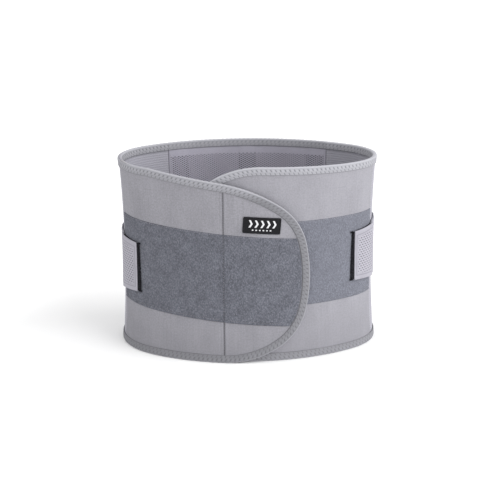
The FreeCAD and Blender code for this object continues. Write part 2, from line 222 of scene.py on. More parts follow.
def colour(name, description, default):
    return bpy.props.FloatVectorProperty(
        name=name, description=description, default=default, subtype="COLOR", size=3, min=0.0, max=1.0
    )


class BeltSizes(bpy.types.PropertyGroup):
    height: length("Height", "Rim to rim at the back and sides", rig.box("back_binding_top")[1].z / MM)
    half_width: length("Half width", "Inside face at the sides, at mid height", 133.0)
    half_depth: length("Half depth", "Inside face at the back, at mid height", 87.0)
    side_radius: length("Side radius", "Inside face round the wearer's sides", 62.0)
    flare: length("Flare", "How far each rim stands out from mid height", 3.8)
    lining: length("Lining", "Thickness of the lining cloth", 0.6)
    foam: length("Foam", "Thickness of the foam", 2.0)
    face: length("Face cloth", "Thickness of the face cloth", 0.6)
    tape: length("Binding tape", "Thickness of the edge binding", 0.65)
    loop: length("Loop cloth", "Thickness of the loop bands", 1.0)
    hook: length("Closing hook", "Thickness of the hook panel in the closing tip", 1.1)
    elastic: length("Side elastic", "Thickness of the side panels", 2.2)
    webbing: length("Webbing", "Thickness of the pull straps", 1.6)
    tab_hook: length("Tab hook", "Thickness of the hook pads under the tabs", 1.5)
    tab_cover: length("Tab cover", "Thickness of the tab covers", 1.8)
    ply_gap: length("Ply gap", "Between plies that are sewn together", 0.05)
    lap_gap: length("Lap gap", "Between pieces that come apart in use", 0.4)
    bend_at: length("Bend", "Where a wing swings, along the girth from the side", -30.0)
    wing_seam: length("Wing seam", "Side panel to wing, along the girth from the side", 24.0)
    back_seam: length("Back seam", "Back panel to side panel, from the centre of the back", 92.0)
    strap_anchor: length("Strap anchor", "Rear end of each strap, from the centre of the back", 34.0)
    strap_bend: length("Strap bend", "Where a loose strap swings out, from the side", -9.0)
    strap_lead: length("Strap lead", "Strap from its bend to the part that stretches", 6.0)
    strap_height: length("Strap height", "Height of the webbing", 65.0)
    tab_start: length("Tab start", "Rear end of the tab, from the side", 3.0)
    tab_length: length("Tab length", "Length of the tab cover", 48.0)
    tab_over: length("Tab over pad", "How far the cloth of the cover laps over the standing-out pad", 5.0)
    tab_front: length("Tab front", "Height of the tab at its front end", 54.0)
    tab_hook_after: length("Hook after seam", "Hook pad's rear end after the wing seam", 3.0)
    tab_hook_past: length("Hook past tab", "How far the hook pad stands out past the cover", 9.0)
    binding_width: length("Binding width", "Width of the binding on each face", 8.5)
    fold_x: length("Fold line", "Where the closing tip folds", -25.5)
    stitch: length("Stitch pitch", "Pitch of the cover stitch on the binding", 4.75)
    channel_pitch: length("Channel pitch", "Stay channel to stay channel", 77.0)
    channel_width: length("Channel width", "Width of a stay channel over its sewn edges", 20.0)
    patch_half: length("Patch half width", "Half width of the patch over the strap ends", 42.0)
    patch_margin: length("Patch margin", "Patch above and below the straps", 6.0)
    label_width: length("Label width", "Width of the label", 38.5)
    label_height: length("Label height", "Height of the label", 17.5)
    label_thickness: length("Label thickness", "Thickness of the label", 1.1)
    label_x: length("Label place", "Centre of the label from the centre of the front", 14.5)
    label_up: length("Label rise", "Centre of the label above mid height", 46.2)


class BeltColours(bpy.types.PropertyGroup):
    face_cloth: colour("Face cloth", "Fine knit of the wings", (0.2701, 0.2664, 0.2923))
    back_cloth: colour("Back cloth", "Outer cover of the back panel", (0.2664, 0.2627, 0.2923))
    loop_cloth: colour("Loop cloth", "Brushed loop bands", (0.142, 0.147, 0.174))
    lining_cloth: colour("Lining", "Plain lining of the wings", (0.2664, 0.259, 0.2997))
    mesh_lining: colour("Mesh lining", "Open-hole lining of the back", (0.3478, 0.3367, 0.3922))
    foam: colour("Foam", "Foam slabs between the cloths", (0.3848, 0.3774, 0.3922))
    binding: colour("Binding", "Folded elastic edge tape", (0.3108, 0.3108, 0.3367))
    elastic: colour("Side elastic", "Side panels", (0.335, 0.33, 0.372))
    webbing: colour("Webbing", "Pull straps", (0.2442, 0.2442, 0.2738))
    tab: colour("Tabs", "Embossed tab covers", (0.3182, 0.3108, 0.3515))
    hook: colour("Hook tape", "Hook pads and closing panel", (0.012, 0.012, 0.015))
    label: colour("Label", "Rubber label", (0.010, 0.010, 0.012))
    thread: colour("Thread", "Sewing thread", (0.2516, 0.2479, 0.2775))
    floor: colour("Floor", "Plain pale floor", (0.95, 0.95, 0.95))


# The wings' outlines seen from the front, drawn at -X. The right one is mirrored.
Wing = namedtuple(
    "Wing",
    "name side lap tip_x tip_up end_radius end_turn top_shoulder top_split bottom_shoulder bottom_split "
    "top_fall top_drop band_up band_height band_tilt tab_up",
)
LEFT = Wing("left", -1, True, 65.0, -10.5, 170.0, 12.0, 150.0, 55.0, 110.0, 58.0, 8.1, 16.1, -13.0, 95.0, -4.6, -8.5)
RIGHT = Wing("right", 1, False, 67.0, -2.5, 290.0, 12.0, 90.0, 58.0, 60.0, 58.0, -2.0, -4.4, 1.5, 91.0, 0.0, 1.5)


def sizes():
    return bpy.context.scene.belt_sizes


def colours():
    return bpy.context.scene.belt_colours


def smooth(t):
    t = np.clip(t, 0.0, 1.0)
    return t * t * (3 - 2 * t)


def bump(x, at, width):
    """A soft ridge, one high, at a place."""
    return np.exp(-(((x - at) / width) ** 2))


# ---- the wall, and the plies on it ----


class Plies:
    """Distances of the plies from the inside face of the wall."""

    def __init__(self):
        b = sizes()
        self.foam_at = b.lining + b.ply_gap
        self.face_at = self.foam_at + b.foam + b.ply_gap
        self.body = self.face_at + b.face
        self.loop_top = self.body + b.ply_gap + b.loop
        self.hook_depth = b.ply_gap + b.hook
        self.lap_step = self.loop_top + b.lap_gap + self.hook_depth
        self.strap_at = self.body + b.ply_gap
        self.strap_top = self.strap_at + b.webbing
        self.tab_hook_at = self.loop_top + b.lap_gap
        self.tab_hook_top = self.tab_hook_at + b.tab_hook
        self.tab_cover_at = self.tab_hook_top + b.ply_gap
        self.tab_top = self.tab_cover_at + b.tab_cover
        self.elastic_top = (self.body + b.elastic) / 2


class Wall:
    """One half of the wall, from the centre of the back round a side to the front. A place on it is a length along the
    girth from the side, positive to the front, a distance out from the inside face, and a height."""

    def __init__(self, wing):
        b = sizes()
        self.wing = wing
        self.side = wing.side
        self.mid = b.height / 2
        self.rise = (self.mid**2 + b.flare**2) / (2 * b.flare)
        side_centre = b.half_width - b.side_radius
        depth = b.half_depth - b.side_radius
        end_centre = (side_centre**2 - depth**2) / (2 * depth)
        end_radius = b.half_depth + end_centre
        front = end_radius + (Plies().lap_step if wing.lap else 0.0)
        turn = (front**2 - b.half_width**2 - end_centre**2) / (2 * (front - b.half_width))
        turn_centre = b.half_width - turn
        bend = math.pi + b.bend_at / b.side_radius
        back_join = math.pi - math.atan2(end_centre, side_centre)
        front_join = math.pi + math.atan2(end_centre, turn_centre)
        back_length = (back_join - math.pi / 2) * end_radius + (bend - back_join) * b.side_radius
        self.back_centre = b.bend_at - back_length
        at = self.back_centre
        self.sectors = []
        for x, y, radius, start, end in (
            (0.0, -end_centre, end_radius, math.pi / 2, back_join),
            (-side_centre, 0.0, b.side_radius, back_join, math.pi),
            (-turn_centre, 0.0, turn, math.pi, front_join),
            (0.0, end_centre, front, front_join, 2 * math.pi),
        ):
            self.sectors.append((at, x, y, radius, start))
            at += (end - start) * radius

    def radial(self, radius, out, z):
        return radius + self.rise - np.sqrt((self.rise - out) ** 2 - (z - self.mid) ** 2)

    def points(self, s, out, z):
        s, out, z = np.broadcast_arrays(*(np.asarray(k, float) for k in (s, out, z)))
        x = np.zeros(s.shape)
        y = np.zeros(s.shape)
        starts = [k[0] for k in self.sectors]
        which = np.clip(np.searchsorted(starts, s, side="right") - 1, 0, len(starts) - 1)
        for k, (at, cx, cy, radius, start) in enumerate(self.sectors):
            here = which == k
            angle = start + (s[here] - at) / radius
            r = self.radial(radius, out[here], z[here])
            x[here] = cx + r * np.cos(angle)
            y[here] = cy + r * np.sin(angle)
        return np.stack([x * -self.side, y, z], axis=-1)

    def along(self, x, z, out=None):
        """The length at which the front of the wall stands at x, in the left wing's frame."""
        at, cx, _, radius, start = self.sectors[-1]
        out = Plies().body if out is None else out
        return at + (2 * math.pi - np.arccos((x - cx) / self.radial(radius, out, z)) - start) * radius


class BackWall:
    """The back of the wall, across its centre. A place is a length from the centre, positive to +X."""

    side = 1

    def __init__(self):
        self.half = Wall(LEFT)

    def points(self, q, out, z):
        q, out, z = np.broadcast_arrays(*(np.asarray(k, float) for k in (q, out, z)))
        p = self.half.points(self.half.back_centre + np.abs(q), out, z)
        p[..., 0] = np.where(q > 0, -p[..., 0], p[..., 0])
        return p


def arc_chain(x, z, heading, arcs, step):
    """Points of tangent arcs, each (radius, turn in degrees), a positive turn to the left."""
    points = []
    for radius, turn in arcs:
        side = math.copysign(1.0, turn)
        cx = x - math.sin(heading) * radius * side
        cz = z + math.cos(heading) * radius * side
        count = max(3, int(abs(math.radians(turn)) * radius / step))
        for k in range(1, count + 1):
            a = heading + math.radians(turn) * k / count
            points.append((cx + math.sin(a) * radius * side, cz - math.cos(a) * radius * side))
        x, z = points[-1]
        heading += math.radians(turn)
    return points


def corner_radius(wing, up):
    """The corner radius, in millimetres, that brings the tip's arcs onto the wing's straight edge."""
    mid = sizes().height / 2 / MM
    shoulder, split = (wing.top_shoulder, wing.top_split) if up else (wing.bottom_shoulder, wing.bottom_split)
    fall = math.radians(wing.top_fall if up else 0.0)
    split = math.radians(split)
    turn = math.radians(wing.end_turn)
    last = math.pi / 2 - fall
    x = wing.tip_x - wing.end_radius * (1 - math.cos(turn)) - shoulder * (math.cos(split) - math.cos(last))
    rise = wing.end_radius * math.sin(turn) + shoulder * (math.sin(last) - math.sin(split))
    to_edge = (mid - wing.top_drop - wing.tip_up) if up else mid + wing.tip_up
    across = math.cos(turn) - math.cos(split)
    share = math.sin(split) - math.sin(turn) - math.tan(fall) * across
    return (to_edge - math.tan(fall) * x - rise) / share


def corner_middle(wing, up):
    """How far above mid height, in millimetres, the tip's corner arc is half turned."""
    end_turn = math.radians(wing.end_turn)
    turn = math.radians((wing.end_turn + (wing.top_split if up else wing.bottom_split)) / 2)
    rise = wing.end_radius * math.sin(end_turn) + corner_radius(wing, up) * (math.sin(turn) - math.sin(end_turn))
    return wing.tip_up + (rise if up else -rise)


class Edge:
    """A line of edge on the wall. A place on it is a length along it and a distance in from it."""

    def __init__(self, points, step=0.5 * MM):
        p = np.asarray(points, float)
        at = np.concatenate([[0], np.cumsum(np.linalg.norm(np.diff(p, axis=0), axis=1))])
        self.length = at[-1]
        self.lengths = np.linspace(0, self.length, int(self.length / step) + 1)
        self.line = np.stack([np.interp(self.lengths, at, p[:, k]) for k in (0, 1)], axis=1)
        ahead = np.gradient(self.line, axis=0)
        for _ in range(6):
            ahead[1:-1] = (ahead[:-2] + 2 * ahead[1:-1] + ahead[2:]) / 4
        ahead /= np.linalg.norm(ahead, axis=1)[:, None]
        self.inward = np.stack([ahead[:, 1], -ahead[:, 0]], axis=1)

    def at(self, along, inset=0.0):
        s, z, ns, nz = (
            np.interp(along, self.lengths, values)
            for values in (self.line[:, 0], self.line[:, 1], self.inward[:, 0], self.inward[:, 1])
        )
        return s + ns * inset, z + nz * inset

    def stretch(self, start, end, inset):
        """Part of the edge, as a function of 0 to 1."""
        return lambda t: self.at(start + (end - start) * np.asarray(t, float), inset)

    def where(self, wanted, inset=0.0, first=True):
        """The length at which a test of (s, z) first, or last, holds."""
        s, z = self.at(self.lengths, inset)
        hits = np.nonzero(wanted(s, z))[0]
        return self.lengths[hits[0] if first else hits[-1]]


def wing_edge(wall, start):
    """The wing's edge from its rear end along the top, round the tip and back along the bottom."""
    wing = wall.wing
    height = sizes().height
    tip = (wing.tip_x * MM, wall.mid + wing.tip_up * MM)
    top_arcs = [
        (wing.end_radius * MM, wing.end_turn),
        (corner_radius(wing, True) * MM, wing.top_split - wing.end_turn),
        (wing.top_shoulder * MM, 90 - wing.top_fall - wing.top_split),
    ]
    bottom_arcs = [
        (wing.end_radius * MM, -wing.end_turn),
        (corner_radius(wing, False) * MM, wing.end_turn - wing.bottom_split),
        (wing.bottom_shoulder * MM, wing.bottom_split - 90),
    ]
    top = arc_chain(*tip, math.pi / 2, top_arcs, MM)
    bottom = arc_chain(*tip, -math.pi / 2, bottom_arcs, MM)
    end_x, end_z = top[-1]
    fall = math.tan(math.radians(wing.top_fall))
    level_x = end_x - (height - end_z) / fall
    reach = -104.0 * MM  # the front's straight part ends here at the latest
    line = [(x, end_z + (end_x - x) * fall) for x in np.linspace(max(level_x, reach), end_x, 40)]
    front = np.array(line[:-1] + top[::-1] + [tip] + bottom)
    front[:, 0] = wall.along(front[:, 0], front[:, 1])
    rear = [(start, height)]
    ease = front[0]
    if ease[1] > height + 1e-5:
        join = max(start, 0.0) + 4 * MM
        for s in np.linspace(join, ease[0], 20)[:-1]:
            rear.append((s, height + (ease[1] - height) * float(smooth((s - join) / (ease[0] - join)))))
    return Edge(rear + [tuple(p) for p in front] + [(start, 0.0)])


# ---- making meshes ----


def steps(total, step, rim=()):
    """Places from 0 to total: close ones at both ends, even ones between."""
    rim = [r for r in rim if r < total / 3]
    low = [0.0] + list(rim)
    count = max(1, round((total - 2 * low[-1]) / step))
    middle = np.linspace(low[-1], total - low[-1], count + 1)
    return np.array(low[:-1] + list(middle) + [total - r for r in low[:-1][::-1]])


def mesh_from(bm, name):
    mesh = bpy.data.meshes.new(name)
    bm.to_mesh(mesh)
    bm.free()
    return mesh


def unit_grid(columns, rows):
    """A flat grid, one wide and one high, round the origin."""
    bm = bmesh.new()
    bmesh.ops.create_grid(bm, x_segments=columns, y_segments=rows, size=0.5)
    return bm


def grid(name, across, up, lay, wall, inside=False, uv=None):
    """A cloth grid: lay(u, v) turns places across and up it into places on the wall."""
    mesh = mesh_from(unit_grid(len(across) - 1, len(up) - 1), name)
    co = vertex_places(mesh)
    u = np.interp(co[:, 0] + 0.5, np.linspace(0, 1, len(across)), across)
    v = np.interp(co[:, 1] + 0.5, np.linspace(0, 1, len(up)), up)
    s, out, z = lay(u, v)
    weave = np.stack(uv(u, v) if uv else (s, z), axis=1)
    put_on_wall(mesh, wall, s, out, z, weave)
    if (wall.side > 0) != inside:
        mesh.flip_normals()
    return mesh


def vertex_places(mesh):
    co = np.zeros(len(mesh.vertices) * 3)
    mesh.vertices.foreach_get("co", co)
    return co.reshape(-1, 3)


def put_on_wall(mesh, wall, s, out, z, weave):
    corners = np.zeros(len(mesh.loops), int)
    mesh.loops.foreach_get("vertex_index", corners)
    layer = mesh.uv_layers.new(name="Weave")
    layer.data.foreach_set("uv", weave[corners].astype(np.float32).ravel())
    mesh.vertices.foreach_set("co", wall.points(s, out, z).astype(np.float32).ravel())
    mesh.update()


def keep(mesh, name, values):
    """Keeps a value at each point of a mesh, for the finish."""
    attribute = mesh.attributes.new(name, "FLOAT", "POINT")
    attribute.data.foreach_set("value", values.astype(np.float32))


def uneven(s, z, along, up, seed):
    """Smooth noise over the cloth, with its waves along the girth and up it counted per metre."""
    return np.array([noise.noise(Vector((a * along, c * up, seed))) for a, c in zip(s, z)])


def piece(name, mesh, cloth, thickness=0.0):
    """An object for a mesh, smooth, with its cloth's thickness on the inner side of its faces."""
    mesh.name = name
    mesh.shade_smooth()
    mesh.materials.append(finish(cloth))
    obj = bpy.data.objects.new(name, mesh)
    bpy.context.scene.collection.objects.link(obj)
    if thickness:
        wall = obj.modifiers.new("Thickness", "SOLIDIFY")
        wall.thickness = thickness
        wall.offset = -1.0
    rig.slot(obj, SLOTS.get(cloth, cloth))
    return obj


def riding(obj, body, *nodes):
    """Lets a piece ride on a body, in place of CAD nodes."""
    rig.ride(obj, body)
    if nodes:
        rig.replaces(obj, *nodes)
    return obj


def patch_of(top, bottom, rear, front):
    """Fills four edges, given as functions of 0 to 1, with a sheet."""
    corner = [np.array(k) for k in (bottom(0.0), bottom(1.0), top(0.0), top(1.0))]

    def lay(u, v):
        b, t, r, f = (np.stack(e, axis=1) for e in (bottom(u), top(u), rear(v), front(v)))
        u1, v1 = u[:, None], v[:, None]
        p = (1 - v1) * b + v1 * t + (1 - u1) * r + u1 * f
        p -= (1 - u1) * ((1 - v1) * corner[0] + v1 * corner[2]) + u1 * ((1 - v1) * corner[1] + v1 * corner[3])
        return p[:, 0], p[:, 1]

    return lay


def scattered(name, places, wall):
    """Many small grains on the wall. A place is (s, out, z, turn, (length, height, width))."""
    bm = bmesh.new()
    bmesh.ops.create_uvsphere(bm, u_segments=6, v_segments=4, radius=0.5)
    one = mesh_from(bm, name)
    bm = bmesh.new()
    for _ in places:
        bm.from_mesh(one)
    mesh = mesh_from(bm, name)
    verts = len(one.vertices)
    bpy.data.meshes.remove(one)
    co = vertex_places(mesh).reshape(len(places), verts, 3)
    for k, (s, out, z, turn, size) in enumerate(places):
        spin = np.array(Matrix.Rotation(turn, 3, "Y"))
        co[k] = (co[k] * size) @ spin.T + (s, out, z)
    co = co.reshape(-1, 3)
    put_on_wall(mesh, wall, co[:, 0], co[:, 1], co[:, 2], co[:, (0, 2)])
    if isinstance(wall, BackWall) or wall.side < 0:
        mesh.flip_normals()
    return mesh


def pitched(start, end, pitch=SEAM_PITCH):
    """The middles of the stitches of a row."""
    return [start + (k + 0.5) * pitch for k in range(int((end - start) / pitch))]


def stitch_row(line, start, end, out):
    """Stitches along a line. line(length) gives (s, z), and out(s, z) how far out they lie."""
    places = []
    for at in pitched(start, end):
        s, z = (float(value) for value in line(at))
        s1, z1 = (float(value) for value in line(at + 0.2 * MM))
        places.append((s, float(out(s, z)), z, -math.atan2(z1 - z, s1 - s), SEAM_STITCH))
    return places


# ---- how the cloth lies ----


CLOTH_SETTINGS = {
    "quality": 6,
    "mass": 0.25,
    "tension_stiffness": 18,
    "compression_stiffness": 18,
    "shear_stiffness": 8,
    "bending_stiffness": 0.6,
    "air_damping": 4,
    "shrink_min": -0.02,
    "vertex_group_mass": "sewn",
    "pin_stiffness": 1.0,
    "use_pressure": True,
    "uniform_pressure_force": 0.35,
}


class Relief:
    """How far the padded cloth stands out or in, over the girth and the height, from a short cloth simulation."""

    def __init__(self, start, end, height, sewn, seed, cap):
        self.start, self.end, self.height = start, end, height
        self.s = np.linspace(start, end, int((end - start) / (3.0 * MM)) + 1)
        self.z = np.linspace(0, height, int(height / (3.2 * MM)) + 1)
        grid_s, grid_z = np.meshgrid(self.s, self.z, indexing="ij")
        self.values = np.zeros(grid_s.shape)
        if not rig.quick():
            self.values = self.simulated(sewn(grid_s, grid_z), seed, cap)

    def simulated(self, sewn, seed, cap):
        """The sheet, ten times its size, under a light pressure while its seams hold it."""
        scale = 10.0
        frames = 24
        mesh = mesh_from(unit_grid(len(self.s) - 1, len(self.z) - 1), "sheet")
        co = vertex_places(mesh)
        i = np.rint((co[:, 0] + 0.5) * (len(self.s) - 1)).astype(int)
        j = np.rint((co[:, 1] + 0.5) * (len(self.z) - 1)).astype(int)
        start = np.stack([self.s[i], np.zeros(len(co)), self.z[j]], axis=1) * scale
        for p in start:
            p[1] += 0.006 * noise.noise(Vector((p[0] * 5.0, seed, p[2] * 0.9)))
        mesh.vertices.foreach_set("co", start.astype(np.float32).ravel())
        obj = bpy.data.objects.new("sheet", mesh)
        bpy.context.scene.collection.objects.link(obj)
        group = obj.vertex_groups.new(name="sewn")
        for k in range(len(co)):
            if sewn[i[k], j[k]] > 0:
                group.add([k], float(sewn[i[k], j[k]]), "REPLACE")
        cloth = obj.modifiers.new("Cloth", "CLOTH")
        for key, value in CLOTH_SETTINGS.items():
            setattr(cloth.settings, key, value)
        cloth.settings.effector_weights.gravity = 0.0
        cloth.point_cache.frame_start = 1
        cloth.point_cache.frame_end = frames
        scene = bpy.context.scene
        for number in range(1, frames + 1):
            scene.frame_set(number)
        shown = obj.evaluated_get(bpy.context.evaluated_depsgraph_get())
        ended = vertex_places(shown.data)
        scene.frame_set(1)
        values = np.zeros((len(self.s), len(self.z)))
        values[i, j] = ended[:, 1] / scale
        bpy.data.objects.remove(obj)
        bpy.data.meshes.remove(mesh)
        if values.mean() < 0:
            values = -values
        reach = np.percentile(np.abs(values), 99) + 1e-9
        return np.tanh(values / reach * 1.3) * cap

    def at(self, s, z):
        u = np.clip((np.asarray(s) - self.start) / (self.end - self.start), 0, 1) * (len(self.s) - 1)
        v = np.clip(np.asarray(z) / self.height, 0, 1) * (len(self.z) - 1)
        i = np.clip(u.astype(int), 0, len(self.s) - 2)
        j = np.clip(v.astype(int), 0, len(self.z) - 2)
        fu, fv = smooth(u - i), smooth(v - j)
        a = self.values
        low = a[i, j] * (1 - fu) * (1 - fv) + a[i + 1, j] * fu * (1 - fv)
        return low + a[i, j + 1] * (1 - fu) * fv + a[i + 1, j + 1] * fu * fv


class WingCloth:
    """One wing's shape: its wall, its edge, and how its cloth lies."""

    made = {}

    def __init__(self, wing):
        b = sizes()
        self.wing = wing
        self.wall = Wall(wing)
        self.rear = self.wall.back_centre + b.back_seam
        self.edge = wing_edge(self.wall, self.rear)
        self.seam = wing_edge(self.wall, b.wing_seam)
        self.end = float(self.seam.line[:, 0].max())
        self.relief = Relief(b.wing_seam, self.end, b.height + 0.006, self.sewn, 3.0 + wing.side, 0.6 * MM)

    @classmethod
    def of(cls, wing):
        if wing.name not in cls.made:
            cls.made[wing.name] = cls(wing)
        return cls.made[wing.name]

    def fold(self, z):
        return self.wall.along(sizes().fold_x, z)

    def fold_crossings(self, edge, inset=0.0, past=-FOLD_REACH):
        """The lengths at which an edge first and last lies beyond the fold line."""
        return [edge.where(lambda s, z: s >= self.fold(z) + past, inset, first) for first in (True, False)]

    def tip_corners(self):
        """The lengths of the seam at the middles of the tip's upper and lower corner."""
        heights = (self.wall.mid + corner_middle(self.wing, up) * MM for up in (True, False))
        return [self.seam.where(lambda s, z: z < height) for height in heights]

    def tab_middle(self):
        return self.wall.mid + self.wing.tab_up * MM

    def band(self, s):
        """The loop band's lowest and highest line."""
        w = self.wing
        x = self.wall.points(s, Plies().body, self.wall.mid)[..., 0] * -self.wall.side
        rise = x * math.tan(math.radians(w.band_tilt))
        low = self.wall.mid + (w.band_up - w.band_height / 2) * MM + rise
        return low, low + w.band_height * MM

    def depth(self, s, z):
        """How far a point lies in from the wing's edge, roughly."""
        gap = np.full(np.shape(s), 1.0)
        for at_s, at_z in self.seam.line[::8]:
            gap = np.minimum(gap, (s - at_s) ** 2 + (z - at_z) ** 2)
        return np.sqrt(gap)

    def sewn(self, s, z):
        """One where the cloth is held by a seam, and nought where it is free."""
        b = sizes()
        low, high = self.band(s)
        held = (s < b.wing_seam + 2 * MM) | (z < b.binding_width) | (self.depth(s, z) < b.binding_width)
        held |= s > self.end - b.binding_width
        held |= (np.abs(z - low) < 1.7 * MM) | (np.abs(z - high) < 1.7 * MM)
        if self.wing.lap:
            held |= np.abs(s - self.fold(z)) < 1.6 * MM
        top = np.interp(s, *self.top_line())
        held |= z > top - b.binding_width
        return held.astype(float)

    def top_line(self):
        half = self.seam.where(lambda s, z: s >= self.end - 0.2 * MM)
        return self.seam.at(np.linspace(0, half, 200))

    def lie(self, s, z):
        """How far the outer cloth stands out at a place."""
        b = sizes()
        out = self.relief.at(s, z)
        if self.wing.lap:
            off = s - self.fold(z)
            out = out - 0.95 * MM * bump(off, 0.0, 0.75 * MM) + 0.22 * MM * bump(off, 2.0 * MM, 1.2 * MM)
        else:
            covered = self.wall.along(-60 * MM, z)  # flat where the outer wing lies over it
            out = out * (1 - smooth((s - covered + 16 * MM) / (16 * MM)))
        return out * smooth((s - b.wing_seam) / (6 * MM))


# ---- finishes ----


class Finish:
    """Builds one material's nodes."""

    def __init__(self, name, base, roughness=0.85, sheen=0.0, sheen_roughness=0.5, metallic=0.0, specular=0.3):
        self.material = bpy.data.materials.new(name)
        self.material.use_nodes = True
        self.tree = self.material.node_tree
        self.shader = self.tree.nodes["Principled BSDF"]
        self.base = base
        self.shader.inputs["Base Color"].default_value = (*base, 1.0)
        self.shader.inputs["Roughness"].default_value = roughness
        self.shader.inputs["Metallic"].default_value = metallic
        self.shader.inputs["Specular IOR Level"].default_value = specular
        self.shader.inputs["Sheen Weight"].default_value = sheen
        self.shader.inputs["Sheen Roughness"].default_value = sheen_roughness
        self.material.diffuse_color = (*base, 1.0)

    def node(self, kind, inputs=None, **settings):
        n = self.tree.nodes.new(kind)
        for key, value in settings.items():
            setattr(n, key, value)
        for key, value in (inputs or {}).items():
            if isinstance(value, bpy.types.NodeSocket):
                self.tree.links.new(value, n.inputs[key])
            else:
                n.inputs[key].default_value = value
        return n

    def place(self):
        """Places on the object, in metres."""
        return self.node("ShaderNodeTexCoord").outputs["Object"]

    def weave(self):
        """Places on the cloth, in metres: along the girth, and up."""
        return self.node("ShaderNodeUVMap", uv_map="Weave").outputs["UV"]

    def scaled(self, vector, x, y, z=1.0):
        return self.node("ShaderNodeMapping", {"Vector": vector, "Scale": (x, y, z)}).outputs["Vector"]

    def split(self, vector):
        n = self.node("ShaderNodeSeparateXYZ", {"Vector": vector})
        return n.outputs["X"], n.outputs["Y"]

    def math(self, operation, a, b=0.0, c=0.0):
        return self.node("ShaderNodeMath", {0: a, 1: b, 2: c}, operation=operation).outputs[0]

    def noise(self, vector, scale, detail=2.0, roughness=0.5):
        inputs = {"Vector": vector, "Scale": scale, "Detail": detail, "Roughness": roughness}
        return self.node("ShaderNodeTexNoise", inputs).outputs["Fac"]

    def cells(self, vector, scale, randomness=1.0):
        inputs = {"Vector": vector, "Scale": scale, "Randomness": randomness}
        return self.node("ShaderNodeTexVoronoi", inputs).outputs["Distance"]

    def span(self, value, low, high, to_low=0.0, to_high=1.0):
        inputs = {"Value": value, "From Min": low, "From Max": high, "To Min": to_low, "To Max": to_high}
        return self.node("ShaderNodeMapRange", inputs, interpolation_type="SMOOTHSTEP").outputs["Result"]

    def mix(self, share, a, b):
        n = self.node("ShaderNodeMix", data_type="RGBA")
        for socket, value in ((n.inputs[0], share), (n.inputs[6], a), (n.inputs[7], b)):
            if isinstance(value, bpy.types.NodeSocket):
                self.tree.links.new(value, socket)
            elif isinstance(value, float):
                socket.default_value = value
            else:
                socket.default_value = (*value, 1.0)
        return n.outputs[2]

    def tone(self, factor):
        """The base colour, lighter or darker."""
        return tuple(min(1.0, c * factor) for c in self.base)

    def wave(self, value, pitch):
        """Ridges at a pitch, from 0 to 1."""
        turned = self.times(value, 2 * math.pi / pitch)
        return self.math("MULTIPLY_ADD", self.math("SINE", turned), 0.5, 0.5)

    def add(self, *values):
        total = values[0]
        for value in values[1:]:
            total = self.math("ADD", total, value)
        return total

    def times(self, a, b):
        return self.math("MULTIPLY", a, b)

    def weighted(self, *pairs):
        """The sum of values, each times its weight."""
        return self.add(*[self.times(value, weight) for value, weight in pairs])

    def speckle(self, vector, x, y, detail=2.0, roughness=0.5):
        """Noise whose grains have their own size along the cloth and up it."""
        return self.noise(self.scaled(vector, x, y), 1.0, detail, roughness)

    def point(self, name):
        """A value kept at the mesh's points."""
        return self.node("ShaderNodeAttribute", attribute_name=name).outputs["Fac"]

    def done(self, colour_socket=None, height=None, distance=0.0002, strength=1.0, roughness=None):
        if colour_socket is not None:
            self.tree.links.new(colour_socket, self.shader.inputs["Base Color"])
        if roughness is not None:
            self.tree.links.new(roughness, self.shader.inputs["Roughness"])
        if height is not None:
            n = self.node("ShaderNodeBump", {"Height": height, "Distance": distance, "Strength": strength})
            self.tree.links.new(n.outputs["Normal"], self.shader.inputs["Normal"])
        return self.material


def knit_cloth(name, base, streak=0.05):
    """Fine warp knit: wales at 0.7 mm, faint upright streaks, and a soft cloudiness."""
    f = Finish(name, base, roughness=0.92, sheen=0.04, specular=0.12)
    weave = f.weave()
    u, v = f.split(weave)
    wobble = f.speckle(weave, 120, 120, 2.0)
    wales = f.wave(f.math("MULTIPLY_ADD", wobble, 0.0006, u), 0.00072)
    courses = f.wave(f.math("MULTIPLY_ADD", wales, 0.00022, v), 0.00058)
    streaks = f.speckle(weave, 480, 26, 3.0, 0.6)
    clouds = f.speckle(weave, 42, 24, 3.0, 0.6)
    fluff = f.speckle(weave, 620, 560, 4.0, 0.75)
    light = f.weighted((streaks, 0.16), (clouds, 0.26), (fluff, 0.58))
    tint = f.mix(f.span(light, 0.36, 0.64), f.tone(1 - streak * 3.4), f.tone(1 + streak * 2.8))
    # Painted shade: the cloth is painted darker towards its bottom, fading out 75 mm up.
    tint = f.mix(f.span(v, -0.01, 0.075, 0.5, 0.0), tint, f.tone(0.70))
    # Painted shade in the groove of the fold line.
    crease = f.point("crease")
    tint = f.mix(f.times(crease, 0.75), tint, f.tone(0.3))
    height = f.weighted((wales, 0.35), (courses, 0.3), (streaks, 0.45), (fluff, 1.4), (clouds, 2.6))
    return f.done(tint, height, 0.00022, 0.8)


def loop_finish(name, base, depth=1.0):
    """Brushed loops: dark between, lighter specks where the loops catch the light, lying upright."""
    f = Finish(name, base, roughness=0.98, sheen=0.06, specular=0.08)
    weave = f.weave()
    nap = f.speckle(weave, 980, 520, 4.0, 0.75)
    tufts = f.cells(f.scaled(weave, 620, 480), 1.0)
    clouds = f.speckle(weave, 80, 60, 3.0, 0.6)
    hair = f.speckle(weave, 1500, 620, 3.0, 0.7)
    light = f.weighted((nap, 0.52), (f.math("SUBTRACT", 1.0, tufts), 0.16), (clouds, 0.16), (hair, 0.16))
    deep = f.mix(f.span(light, 0.40, 0.66), f.tone(1 - 0.36 * depth), f.tone(1 + 0.38 * depth))
    # Painted shade in the groove of the fold line.
    crease = f.point("crease")
    deep = f.mix(f.times(crease, 0.35), deep, f.tone(0.4))
    tint = f.mix(f.span(hair, 0.60, 0.72), deep, f.mix(0.5, deep, f.tone(2.1)))
    height = f.weighted((nap, 1.6), (hair, 0.5), (f.math("SUBTRACT", 1.0, tufts), 0.7))
    return f.done(tint, height, 0.0006, 0.95)


